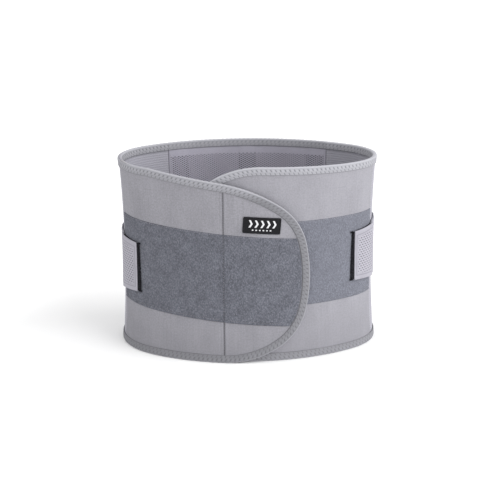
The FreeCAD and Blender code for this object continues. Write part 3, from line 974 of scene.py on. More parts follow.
def binding_finish(name, base, dark, greyer=None):
    """Folded elastic tape: slanted ribs between needle pulls, with painted shade in the pulls and painted highlights
    on the puffs between them, a painted highlight along the fold, and painted shade along the inner edge. Below the
    two heights given it is painted darker, as shade low on the belt."""
    f = Finish(name, base, roughness=0.88, sheen=0.04, specular=0.15)
    weave = f.weave()
    u, v = f.split(weave)
    pitch = sizes().stitch
    wobble = f.speckle(weave, 150, 60, 1.0)
    slant = f.math("ADD", u, f.times(v, 0.55))
    slant = f.math("MULTIPLY_ADD", wobble, 0.0007, slant)
    phase = f.math("ABSOLUTE", f.math("SUBTRACT", f.math("FRACT", f.math("DIVIDE", slant, pitch)), 0.5))
    row = f.times(f.span(v, 0.0018, 0.0026), f.span(v, 0.0040, 0.0050, 1.0, 0.0))
    inner_row = f.times(f.span(v, 0.0054, 0.0060), f.span(v, 0.0074, 0.0082, 1.0, 0.0))
    # Painted shade in the needle pulls, in two rows.
    dash = f.times(f.span(phase, 0.03, 0.15, 1.0, 0.0), row)
    dash = f.math("MAXIMUM", dash, f.times(f.span(phase, 0.34, 0.46), f.times(inner_row, 0.85)))
    puff = f.times(f.span(phase, 0.2, 0.42), row)
    fold = f.span(v, 0.0004, 0.0016, 1.0, 0.0)
    inner = f.span(v, 0.0074, 0.0084)
    weft = f.wave(v, 0.0008)
    fibres = f.speckle(weave, 1500, 1500, 3.0, 0.65)
    patches = f.speckle(weave, 60, 60, 2.0)
    grain_share = f.weighted((fibres, 0.55), (weft, 0.2), (patches, 0.25))
    tint = f.mix(f.span(grain_share, 0.3, 0.7), f.tone(0.88), f.tone(1.10))
    # Painted highlight on the puffs between the needle pulls.
    tint = f.mix(f.times(puff, 0.6), tint, f.tone(1.22))
    # Painted shade: the tape is painted darker below the given heights, low on the belt.
    if greyer:
        up = f.node("ShaderNodeSeparateXYZ", {"Vector": f.place()}).outputs["Z"]
        tint = f.mix(f.span(up, *greyer, 0.52, 0.0), tint, f.tone(0.35))
    # Painted highlight along the fold, then painted shade along the inner edge where the tape steps down to the cloth.
    tint = f.mix(f.times(fold, 0.6), tint, f.tone(1.4))
    tint = f.mix(f.times(inner, 0.55), tint, f.tone(0.45))
    # Painted shade in the needle pulls; dark sets its strength.
    tint = f.mix(f.times(dash, dark), tint, f.tone(0.30))
    height = f.weighted((weft, 0.5), (fibres, 0.6), (dash, -1.6))
    return f.done(tint, height, 0.00014, 0.8)


def ribbed_finish(name, base, pitch, roughness=0.85, depth=0.00022, upright=False, contrast=1.0):
    """Woven elastic: cords along the girth, crossed by fine weft."""
    f = Finish(name, base, roughness=roughness, sheen=0.04, specular=0.15)
    weave = f.weave()
    u, v = f.split(weave)
    if upright:
        u, v = v, u
    fibres = f.speckle(weave, 1400, 1400, 3.0, 0.65)
    cords = f.wave(f.math("MULTIPLY_ADD", fibres, pitch * 0.2, v), pitch)
    weft = f.wave(f.math("MULTIPLY_ADD", cords, pitch * 0.3, u), 0.0007)
    patches = f.speckle(weave, 50, 90, 2.0)
    share = f.weighted((cords, 0.4), (weft, 0.2), (fibres, 0.2), (patches, 0.2))
    tint = f.mix(f.span(share, 0.2, 0.75), f.tone(1 - 0.28 * contrast), f.tone(1 + 0.18 * contrast))
    height = f.weighted((cords, 1.0), (weft, 0.3), (fibres, 0.25))
    return f.done(tint, height, depth, 0.9)


def plain_lining(name, base):
    """Smooth tricot lining: fine diagonal twill and light wear."""
    f = Finish(name, base, roughness=0.85, sheen=0.04, specular=0.15)
    weave = f.weave()
    u, v = f.split(weave)
    twill = f.wave(f.math("ADD", u, f.times(v, 0.6)), 0.0009)
    fibres = f.speckle(weave, 1700, 1700, 3.0, 0.6)
    clouds = f.speckle(weave, 40, 40, 3.0)
    share = f.weighted((twill, 0.3), (fibres, 0.4), (clouds, 0.3))
    return f.done(f.mix(f.span(share, 0.3, 0.7), f.tone(0.87), f.tone(1.1)), f.add(twill, fibres), 0.00008, 0.7)


def foam_finish(name, base):
    """Open-cell foam."""
    f = Finish(name, base, roughness=0.95, specular=0.15)
    cells = f.cells(f.place(), 900.0)
    tint = f.mix(f.span(cells, 0.1, 0.6), f.tone(0.8), f.tone(1.1))
    return f.done(tint, cells, 0.0004, 0.8)


def tab_finish(name, base):
    """Moulded brushed cloth of the tabs, with painted shade in each pit and painted highlights on the ridges round
    them and along the rim.
    """
    f = Finish(name, base, roughness=0.72, sheen=0.05, sheen_roughness=0.35, specular=0.22)
    weave = f.weave()
    pits = f.point("pits")
    fibres = f.speckle(weave, 1500, 1500, 3.0, 0.65)
    clouds = f.speckle(weave, 70, 70, 3.0)
    share = f.weighted((fibres, 0.55), (clouds, 0.45))
    tint = f.mix(f.span(share, 0.3, 0.7), f.tone(0.92), f.tone(1.08))
    # Painted shade in each pit and the border groove, then painted highlights on the ridges round each pit and on the
    # rim.
    tint = f.mix(f.span(pits, 0.15, 0.8), tint, f.tone(0.30))
    tint = f.mix(f.span(pits, -0.1, -0.9), tint, f.tone(1.25))
    return f.done(tint, fibres, 0.00008, 0.7)


def hook_finish(name, base):
    """Hook tape: rows of stiff black hooks."""
    f = Finish(name, base, roughness=0.85, sheen=0.02, specular=0.06)
    weave = f.weave()
    hooks = f.cells(f.scaled(weave, 900, 900), 1.0, randomness=0.55)
    lint = f.speckle(weave, 1800, 700, 3.0, 0.7)
    tint = f.mix(f.span(hooks, 0.1, 0.7), f.tone(2.2), f.tone(0.5))
    tint = f.mix(f.span(lint, 0.62, 0.78), tint, f.tone(6.0))
    height = f.weighted((hooks, -1.0), (lint, 0.7))
    return f.done(tint, height, 0.0005, 1.0)


def rubber_finish(name, base):
    """Satin rubber, dusty in its low places."""
    f = Finish(name, base, roughness=0.5, specular=0.12)
    place = f.place()
    dust = f.noise(place, 700.0, 4.0, 0.65)
    scuff = f.noise(f.scaled(place, 300, 300, 1800), 1.0, 2.0)
    marks = f.point("marks")
    tint = f.mix(f.span(dust, 0.45, 0.75), f.tone(0.85), f.tone(1.8))
    tint = f.mix(f.span(marks, 0.3, 0.7), tint, (0.66, 0.66, 0.68))
    return f.done(tint, dust, 0.00004, 0.6, f.span(scuff, 0.2, 0.8, 0.42, 0.62))


def thread_finish(name, base):
    """Spun polyester thread: a fine twist."""
    f = Finish(name, base, roughness=0.6, sheen=0.2, specular=0.35)
    twist = f.wave(f.math("ADD", *f.split(f.weave())), 0.0003)
    return f.done(f.mix(twist, f.tone(0.75), f.tone(1.15)), twist, 0.00005, 0.6)


def steel_finish(name, base):
    """Blued spring steel, drawn lengthwise."""
    f = Finish(name, base, roughness=0.4, metallic=1.0)
    drawn = f.noise(f.scaled(f.place(), 2400, 2400, 40), 1.0, 3.0, 0.6)
    return f.done(f.mix(drawn, f.tone(0.8), f.tone(1.1)), drawn, 0.00002, 0.5, f.span(drawn, 0.2, 0.8, 0.28, 0.45))


def cap_finish(name, base):
    """Dark moulded plastic of the stays' caps."""
    f = Finish(name, base, roughness=0.5, specular=0.3)
    grains = f.noise(f.place(), 1500.0, 3.0)
    return f.done(f.mix(grains, f.tone(0.92), f.tone(1.05)), grains, 0.00003, 0.5)


# Each finish: its maker, its colour, how light it is against that colour, and what else its maker takes.
FINISHES = {
    "face_cloth": (knit_cloth, "face_cloth", 1.0, {}),
    # The right wing's cloth, loop band and tape are lighter copies of the left wing's: painted light on the right
    # wing.
    "right_cloth": (knit_cloth, "face_cloth", 1.08, {"streak": 0.035}),
    "back_cloth": (knit_cloth, "back_cloth", 1.0, {}),
    "loop_cloth": (loop_finish, "loop_cloth", 1.0, {}),
    "right_loop": (loop_finish, "loop_cloth", 1.25, {"depth": 0.6}),
    "lining_cloth": (plain_lining, "lining_cloth", 1.0, {}),
    "mesh_lining": (plain_lining, "mesh_lining", 1.0, {}),
    "foam": (foam_finish, "foam", 1.0, {}),
    # These tapes are painted darker below the given heights, as shade low on the belt.
    "binding_tape": (binding_finish, "binding", 0.93, {"dark": 0.62, "greyer": (0.172, 0.188)}),
    "right_tape": (binding_finish, "binding", 1.06, {"dark": 0.65, "greyer": (0.03, 0.10)}),
    "back_tape": (binding_finish, "binding", 0.94, {"dark": 0.3}),
    "side_elastic": (ribbed_finish, "elastic", 1.0, {"pitch": 0.0026, "depth": 0.0003, "contrast": 0.55}),
    "strap_webbing": (ribbed_finish, "webbing", 1.0, {"pitch": 0.0017}),
    "channel_tape": (ribbed_finish, "mesh_lining", 0.16, {"pitch": 0.0012, "upright": True}),
    # A darker copy of the mesh lining, painted dark as the shade seen through the lining's holes.
    "back_felt": (plain_lining, "mesh_lining", 0.5, {}),
    "tab_cloth": (tab_finish, "tab", 1.0, {}),
    "hook_tape": (hook_finish, "hook", 1.0, {}),
    "label_rubber": (rubber_finish, "label", 1.0, {}),
    "thread": (thread_finish, "thread", 1.0, {}),
    "spring_steel": (steel_finish, (0.13, 0.135, 0.15), 1.0, {}),
    "cap_plastic": (cap_finish, (0.06, 0.06, 0.068), 1.0, {}),
}

# The material slots of the finishes that don't have one of their own.
SLOTS = {
    "right_cloth": "face_cloth",
    "right_loop": "loop_cloth",
    "right_tape": "binding_tape",
    "back_tape": "binding_tape",
    "back_felt": "lining_cloth",
    "thread": "binding_tape",
}


def finish(name):
    """One of the belt's finishes, made once."""
    key = f"sewn_{name}"
    if key in bpy.data.materials:
        return bpy.data.materials[key]
    maker, source, light, more = FINISHES[name]
    base = getattr(colours(), source) if isinstance(source, str) else source
    return maker(key, tuple(k * light for k in base), **more)


# ---- carrying pieces with the belt's joints ----


def blend_bend(obj, wall):
    """Bends a piece over the side panel's bend, from the back to a wing. The bend depends on the depth alone, because
    a wing's far end crosses the centre and would fall back into a slanted one."""
    rear, front = (float(wall.points(s, 2 * MM, wall.mid)[1]) for s in REAR_BEND)
    start, end = (0.0, rear, wall.mid), (0.0, front, wall.mid)
    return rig.blend(obj, "back", f"{wall.wing.name}_wing", start=start, end=end)


def blend_fold(obj):
    """Bends a piece over the closing tip's fold line."""
    x = sizes().fold_x
    start, end = ((x + reach, -0.1, 0.1) for reach in (-FOLD_REACH, FOLD_REACH))
    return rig.blend(obj, "left_wing", "left_tip", start=start, end=end)


def on_wing(obj, wing, part, node):
    """Carries a piece with its wing, or over the fold line with the closing tip."""
    if part == "tip":
        blend_fold(obj)
    else:
        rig.ride(obj, f"{wing.name}_wing")
    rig.replaces(obj, f"{wing.name}_{part}_{node}")


def parts_of(wing):
    return ("wing", "tip") if wing.lap else ("wing",)


# ---- the pieces ----


class BELT_OT_side_panels(bpy.types.Operator):
    """Make the elastic side panels between the back and the wings"""

    bl_idname = "belt.side_panels"
    bl_label = "Side panels"

    def execute(self, context):
        b, plies = sizes(), Plies()
        low, high = cloth_rims()
        for wing in (LEFT, RIGHT):
            cloth = WingCloth.of(wing)
            start, end = cloth.rear, b.wing_seam

            def lay(u, v):
                ribs = 0.10 * MM * np.cos(2 * np.pi * v / (2.6 * MM)) * smooth((end - u) / (4 * MM))
                pinch = 0.35 * MM * (bump(u, end - 1.2 * MM, 0.9 * MM) + bump(u, start + 1.2 * MM, 0.9 * MM))
                return u, plies.elastic_top + ribs - pinch, v

            across, up = start + steps(end - start, 2.0 * MM), low + steps(high - low, 0.65 * MM)
            name = f"{wing.name}_side_elastic"
            obj = piece(name, grid(name, across, up, lay, cloth.wall), "side_elastic", b.elastic)
            blend_bend(obj, cloth.wall)
            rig.replaces(obj, f"{name}_rear", f"{name}_front")
        return {"FINISHED"}


def cloth_rims():
    """The lowest and highest line of the cloths inside the bindings."""
    b = sizes()
    return b.tape + b.ply_gap, b.height - b.tape - b.ply_gap


def near_fold(width, step):
    """Places from 0 to 1 across the closing tip, close together over its fold line."""
    fine = np.arange(0, 7.6 * MM, 0.4 * MM)
    coarse = np.linspace(fine[-1], width, int((width - fine[-1]) / step) + 2)[1:]
    return np.concatenate([fine, coarse]) / width


def keep_crease_shade(mesh, cloth, s, z):
    """Keeps how near each point lies to the fold line, where the finishes paint shade in the groove."""
    keep(mesh, "crease", bump(s - cloth.fold(z), 0.0, 0.62 * MM))


class BELT_OT_wing_cloths(bpy.types.Operator):
    """Make the face cloth, foam and lining of the wings and of the closing tip"""

    bl_idname = "belt.wing_cloths"
    bl_label = "Wing cloths"

    def execute(self, context):
        for wing in (LEFT, RIGHT):
            for part in parts_of(wing):
                self.plies(wing, part)
        return {"FINISHED"}

    def region(self, cloth, part, inset):
        """The four edges of a wing, or of the part of it on one side of the fold line, and its flat size."""
        edge = cloth.seam
        first, last = cloth.fold_crossings(edge, inset)
        tip_top, tip_low = cloth.tip_corners()
        to_fold = part == "wing" and cloth.wing.lap
        if to_fold:
            top, low = (0.0, first), (edge.length, last)
        elif part == "tip":
            top, low = (first, tip_top), (last, tip_low)
        else:
            top, low = (0.0, tip_top), (edge.length, tip_low)
        above, below = edge.stretch(*top, inset), edge.stretch(*low, inset)

        def upright(end, on_fold):
            (s1, z1), (s0, z0) = above(end), below(end)

            def at(t):
                t = np.asarray(t, float)
                z = z0 + (z1 - z0) * t
                return (cloth.fold(z) - FOLD_REACH if on_fold else s0 + (s1 - s0) * t), z

            return at

        rear = upright(0.0, part == "tip")
        front = upright(1.0, True) if to_fold else edge.stretch(tip_low, tip_top, inset)
        return patch_of(above, below, rear, front), (top[1] - top[0], sizes().height)

    def across(self, width, step, folded):
        """Places across a wing from 0 to 1, closer together over the fold line."""
        return near_fold(width, step) if folded else np.linspace(0, 1, max(12, int(width / step)))

    def plies(self, wing, part):
        b, p = sizes(), Plies()
        cloth = WingCloth.of(wing)
        place, (width, height) = self.region(cloth, part, b.tape + b.ply_gap)
        name = f"{wing.name}_{part}"
        fine, coarse = (
            (self.across(width, step, part == "tip"), np.linspace(0, 1, int(height / step)))
            for step in (1.6 * MM, 4 * MM)
        )
        laid = []

        def face(u, v):
            s, z = place(u, v)
            laid.append((s, z))
            return s, p.body + cloth.lie(s, z), z

        def lining(u, v):
            s, z = place(u, v)
            return s, 0.0 * s, z

        def foam(u, v):
            s, z = place(u, v)
            return s, p.foam_at + b.foam + np.minimum(cloth.lie(s, z), 0.0), z

        mesh = grid(name, *fine, face, cloth.wall)
        if wing.lap:
            keep_crease_shade(mesh, cloth, *laid[0])
        outer = piece(f"{name}_cloth", mesh, "face_cloth" if wing.lap else "right_cloth", b.face * 0.9)
        mesh = grid(name, *coarse, lining, cloth.wall, inside=True)
        inner = piece(f"{name}_lining_cloth", mesh, "lining_cloth", b.lining)
        pad = piece(f"{name}_pad", grid(name, *coarse, foam, cloth.wall), "foam", b.foam)
        for obj, node in ((outer, "face"), (inner, "lining"), (pad, "foam")):
            on_wing(obj, wing, part, node)
        area = sum(f.area for f in inner.data.polygons)
        width = max(width, area / height) * 1.02
        for obj in (outer, inner):
            area = min(area, width * height)
            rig.sheet(obj, flat=(width, height), held="stretched", rests_on=[pad.name], area=area)
        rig.padded(pad, fill=0.8)


class BELT_OT_loop_bands(bpy.types.Operator):
    """Make the brushed loop bands across the wings"""

    bl_idname = "belt.loop_bands"
    bl_label = "Loop bands"

    def execute(self, context):
        for wing in (LEFT, RIGHT):
            for part in parts_of(wing):
                self.band(WingCloth.of(wing), part)
        return {"FINISHED"}

    def band(self, cloth, part):
        b, p = sizes(), Plies()
        wing, edge = cloth.wing, cloth.seam
        inset = b.binding_width + EDGE_GAP
        low_at, top_at = (edge.where(lambda s, z: z < cloth.band(s)[level], inset) for level in (0, 1))
        ends = [edge.at(at, inset)[0] for at in (low_at, top_at)]
        start = b.wing_seam + 0.6 * MM
        to_tip = part == "tip" or not wing.lap

        def border(t, level):
            """The band's lower or upper edge."""
            t = np.asarray(t, float)
            cut = cloth.fold(cloth.band(np.full(np.shape(t), start))[level]) - FOLD_REACH
            first = cut if part == "tip" else start
            last = ends[level] if to_tip else cut
            s = first + (last - first) * t
            return s, cloth.band(s)[level]

        def side(t, end):
            t = np.asarray(t, float)
            (s0, z0), (s1, z1) = (border(np.full(np.shape(t), end), level) for level in (0, 1))
            return s0 + (s1 - s0) * t, z0 + (z1 - z0) * t

        front = edge.stretch(low_at, top_at, inset) if to_tip else lambda t: side(t, 1.0)
        place = patch_of(lambda t: border(t, 1), lambda t: border(t, 0), lambda t: side(t, 0.0), front)
        width = float(border(1.0, 1)[0] - border(0.0, 1)[0])
        height = wing.band_height * MM
        rim = (0.25 * MM, 0.5 * MM, 0.9 * MM)
        across, up = (steps(total, 1.1 * MM, rim) / total for total in (width, height))
        if part == "tip":
            across = np.append(near_fold(width, 1.1 * MM)[:-1], across[-len(rim) - 1 :])
        laid = []

        def lay(u, v):
            s, z = place(u, v)
            laid.append((s, z))
            cut_ends = ([u * width] if part == "wing" else []) + ([(1 - u) * width] if to_tip else [])
            rim_in = np.minimum.reduce([v * height, (1 - v) * height, *cut_ends])
            pile = 0.10 * MM * uneven(s, z, 620, 330, 1.0)
            seam = 0.45 * MM * bump(v * height, 3.0 * MM, 0.6 * MM)
            rise = b.loop * (0.12 + 0.88 * smooth(rim_in / (0.8 * MM)))
            rise = rise + (pile - seam) * smooth(rim_in / (0.5 * MM))
            return s, p.body + rise + 0.6 * cloth.lie(s, z), z

        name = f"{wing.name}_{part}_loop_band"
        mesh = grid(name, across, up, lay, cloth.wall)
        if wing.lap:
            keep_crease_shade(mesh, cloth, *laid[0])
        on_wing(piece(name, mesh, "loop_cloth" if wing.lap else "right_loop", 0.5 * MM), wing, part, "loop")


def binding_profile():
    """The binding's section: how far in from the edge each point lies, and how far out from the inside face."""
    b, p = sizes(), Plies()
    width = b.binding_width
    top = p.body + b.ply_gap + b.tape
    bottom = -b.ply_gap - b.tape
    middle, half = (top + bottom) / 2, (top - bottom) / 2
    outer = [(width, p.body - 0.1 * MM), (width - 0.05 * MM, p.body + 0.45 * MM)]
    outer += [(width - 0.35 * MM, top - 0.03 * MM)]
    outer += [(x * MM, top) for x in (7.4, 6.5, 5.7, 5.0, 4.4, 3.8, 3.2, 2.6, 2.1)]
    fold = []
    for k in range(1, 10):
        a = math.pi * k / 10
        lift = half * math.copysign(abs(math.cos(a)) ** 0.8, math.cos(a))
        fold.append((1.6 * MM * (1 - math.sin(a) ** 0.8), middle + lift))
    inner = [(x * MM, bottom) for x in (2.2, 3.2, 4.2, 5.2, 6.4, 7.6)]
    inner += [(width - 0.1 * MM, bottom + 0.15 * MM), (width, bottom + 0.7 * MM)]
    return np.array(outer + fold + inner)


def bind(name, wall, edge, start, end, puff=1.0, lie=None):
    """A stretch of binding between two lengths of an edge."""
    b = sizes()
    profile = binding_profile()

    def lay(u, v):
        inset, out = profile[np.rint(v).astype(int)].T
        pull = np.abs(np.mod((u + 0.55 * inset) / b.stitch + 0.5 * (inset > 5.2 * MM), 1.0) - 0.5)
        rib = smooth((pull - 0.02) / 0.26) - 0.62
        row = smooth((inset - 0.6 * MM) / (1.6 * MM)) * smooth((b.binding_width - 0.5 * MM - inset) / (2.4 * MM))
        wave = 0.14 * MM * np.sin(u * 2 * np.pi / (31 * MM)) * smooth((b.binding_width - inset) / (3 * MM))
        ripple = 0.10 * MM * np.sin(2 * np.pi * u / b.stitch + 0.6) * (inset < 1.6 * MM)
        side = np.where(out > 1.5 * MM, 1.0, -1.0)
        s, z = edge.at(u, inset + ripple * puff)
        lift = lie(s, z) * (side > 0) if lie else 0.0
        return s, out + side * (puff * (0.20 * MM * rib * row) + 0.2 * wave) + lift, z

    def weave(u, v):
        inset, out = profile[np.rint(v).astype(int)].T
        return u, np.where(out > 0, inset, inset - 0.1 * MM)

    along = steps(end - start, 0.62 * MM) + start
    return grid(name, along, np.arange(len(profile), dtype=float), lay, wall, uv=weave)


class BELT_OT_bindings(bpy.types.Operator):
    """Make the elastic binding folded over every edge"""

    bl_idname = "belt.bindings"
    bl_label = "Edge bindings"

    thickness = 0.45 * MM

    def execute(self, context):
        b = sizes()
        seam = b.back_seam
        for level, z, ends in (("top", b.height, (-seam, seam)), ("bottom", 0.0, (seam, -seam))):
            node = f"back_binding_{level}"
            edge = Edge([(ends[0], z), (ends[1], z)])
            mesh = bind(node, BackWall(), edge, 0.0, edge.length)
            riding(piece(f"back_edge_{level}", mesh, "back_tape", self.thickness), "back", node)
        cloth = WingCloth.of(RIGHT)
        mesh = bind("right", cloth.wall, cloth.edge, 0.0, cloth.edge.length, 0.75)
        obj = piece("right_edge", mesh, "right_tape", self.thickness)
        blend_bend(obj, cloth.wall)
        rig.replaces(obj, "right_wing_binding")
        cloth = WingCloth.of(LEFT)
        edge = cloth.edge
        first, last = cloth.fold_crossings(edge)

        def lie(s, z):
            return -0.35 * MM * bump(s - cloth.fold(z), 0.0, 0.8 * MM)

        for name, start, end, node in (
            ("left_edge_top", 0.0, first, "left_wing_binding_top"),
            ("left_edge_bottom", last, edge.length, "left_wing_binding_bottom"),
            ("left_tip_edge", first, last, "left_tip_binding"),
        ):
            mesh = bind(name, cloth.wall, edge, start, end, 1.0, lie)
            obj = piece(name, mesh, "binding_tape", self.thickness)
            if "tip" in name:
                blend_fold(obj)
            else:
                blend_bend(obj, cloth.wall)
            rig.replaces(obj, node)
        return {"FINISHED"}


class BELT_OT_closing_hook(bpy.types.Operator):
    """Make the hook panel inside the closing tip"""

    bl_idname = "belt.closing_hook"
    bl_label = "Closing hook panel"

    def execute(self, context):
        b = sizes()
        cloth = WingCloth.of(LEFT)
        edge = cloth.seam
        inset = b.binding_width + 0.6 * MM
        cut = 0.8 * MM
        first, last = cloth.fold_crossings(edge, inset, cut)
        tip_top, tip_low = cloth.tip_corners()

        def rear(t):
            z0, z1 = (float(edge.at(k, inset)[1]) for k in (last, first))
            z = z0 + (z1 - z0) * np.asarray(t, float)
            return cloth.fold(z) + cut, z

        above, below = edge.stretch(first, tip_top, inset), edge.stretch(last, tip_low, inset)
        place = patch_of(above, below, rear, edge.stretch(tip_low, tip_top, inset))

        def lay(u, v):
            s, z = place(u, v)
            rim = smooth(np.minimum.reduce([u * 0.08, (1 - u) * 0.08, v * 0.18, (1 - v) * 0.18]) / (1.0 * MM))
            hooks = 0.08 * MM * uneven(s, z, 900, 900, 5.0)
            return s, -b.ply_gap - b.hook * (0.45 + 0.5 * rim) + hooks * rim, z

        name = "left_tip_hook_panel"
        mesh = grid(name, steps(1.0, 0.012), steps(1.0, 0.007), lay, cloth.wall, inside=True)
        riding(piece(name, mesh, "hook_tape", 0.4 * MM), "left_tip", "left_tip_hook")
        return {"FINISHED"}


class BELT_OT_straps(bpy.types.Operator):
    """Make the elastic webbing straps from the back to the tabs"""

    bl_idname = "belt.straps"
    bl_label = "Pull straps"

    def execute(self, context):
        for wing in (LEFT, RIGHT):
            self.strap(WingCloth.of(wing))
        return {"FINISHED"}

    def webbing(self, cloth, name, start, end, lift):
        b, p = sizes(), Plies()
        half = b.strap_height / 2

        def lay(u, v):
            t = v * 2 - 1
            taper = half - (half - b.tab_front / 2) * smooth((u - 4 * MM) / (50 * MM)) * 0.6
            reach = np.where(u > 3 * MM, taper - 1.2 * MM, half)
            ribs = 0.08 * MM * np.cos(2 * np.pi * v * b.strap_height / (1.7 * MM)) * (np.abs(t) < 0.93)
            lip = 0.12 * MM * bump(np.abs(t), 0.965, 0.02)
            return u, p.strap_top + lift(u) + ribs + lip, cloth.tab_middle() + t * reach

        def weave(u, v):
            return u, (v - 0.5) * b.strap_height

        mesh = grid(name, start + steps(end - start, 1.6 * MM), steps(1.0, 0.0075), lay, cloth.wall, uv=weave)
        return piece(name, mesh, "strap_webbing", b.webbing * 0.93)

    def strap(self, cloth):
        b, p = sizes(), Plies()
        wall, name = cloth.wall, cloth.wing.name
        lead_end = b.strap_bend + b.strap_lead
        hook_start = b.wing_seam + b.tab_hook_after
        dip = 0.65 * MM  # how much nearer the belt the webbing lies between its bend and the tab

        def over_back(u):
            return b.lap_gap * 0.6 * smooth((u - LEAD_START + 12 * MM) / (12 * MM))

        def over_bend(u):
            return b.lap_gap * (0.6 + 0.4 * smooth((u - LEAD_START) / (6 * MM)))

        def under_tab(u):
            rise = p.tab_hook_top - p.strap_top - b.lap_gap + dip
            return b.lap_gap - dip * smooth((u - lead_end) / (8 * MM)) + rise * smooth((u - 17 * MM) / (9 * MM))

        anchor = wall.back_centre + b.strap_anchor
        rear = self.webbing(cloth, f"{name}_strap_back", anchor, LEAD_START, over_back)
        blend_bend(rear, wall)
        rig.replaces(rear, f"{name}_strap_rear", f"{name}_strap_side")
        lead = self.webbing(cloth, f"{name}_strap_bend", LEAD_START, lead_end, over_bend)
        start, end = (tuple(wall.points(s, p.strap_at, wall.mid)) for s in (LEAD_START, -4.5 * MM))
        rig.blend(lead, f"{name}_wing", f"{name}_strap", start=start, end=end)
        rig.replaces(lead, f"{name}_strap_lead")
        front = self.webbing(cloth, f"{name}_strap_front", lead_end, hook_start - 0.3 * MM, under_tab)
        start, end = ((0.0, float(wall.points(s, p.strap_at, wall.mid)[1]), 0.1) for s in (lead_end, hook_start))
        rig.blend(front, f"{name}_strap", f"{name}_tab", start=start, end=end)
        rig.replaces(front, f"{name}_strap_stretch", f"{name}_strap_end")


def rounded(rim, radius):
    """How far below its top an edge lies that is rounded off, as a share, at a distance in from its rim."""
    return 1 - np.sqrt(np.clip(1 - (1 - np.clip(rim / radius, 0, 1)) ** 2, 0, 1))


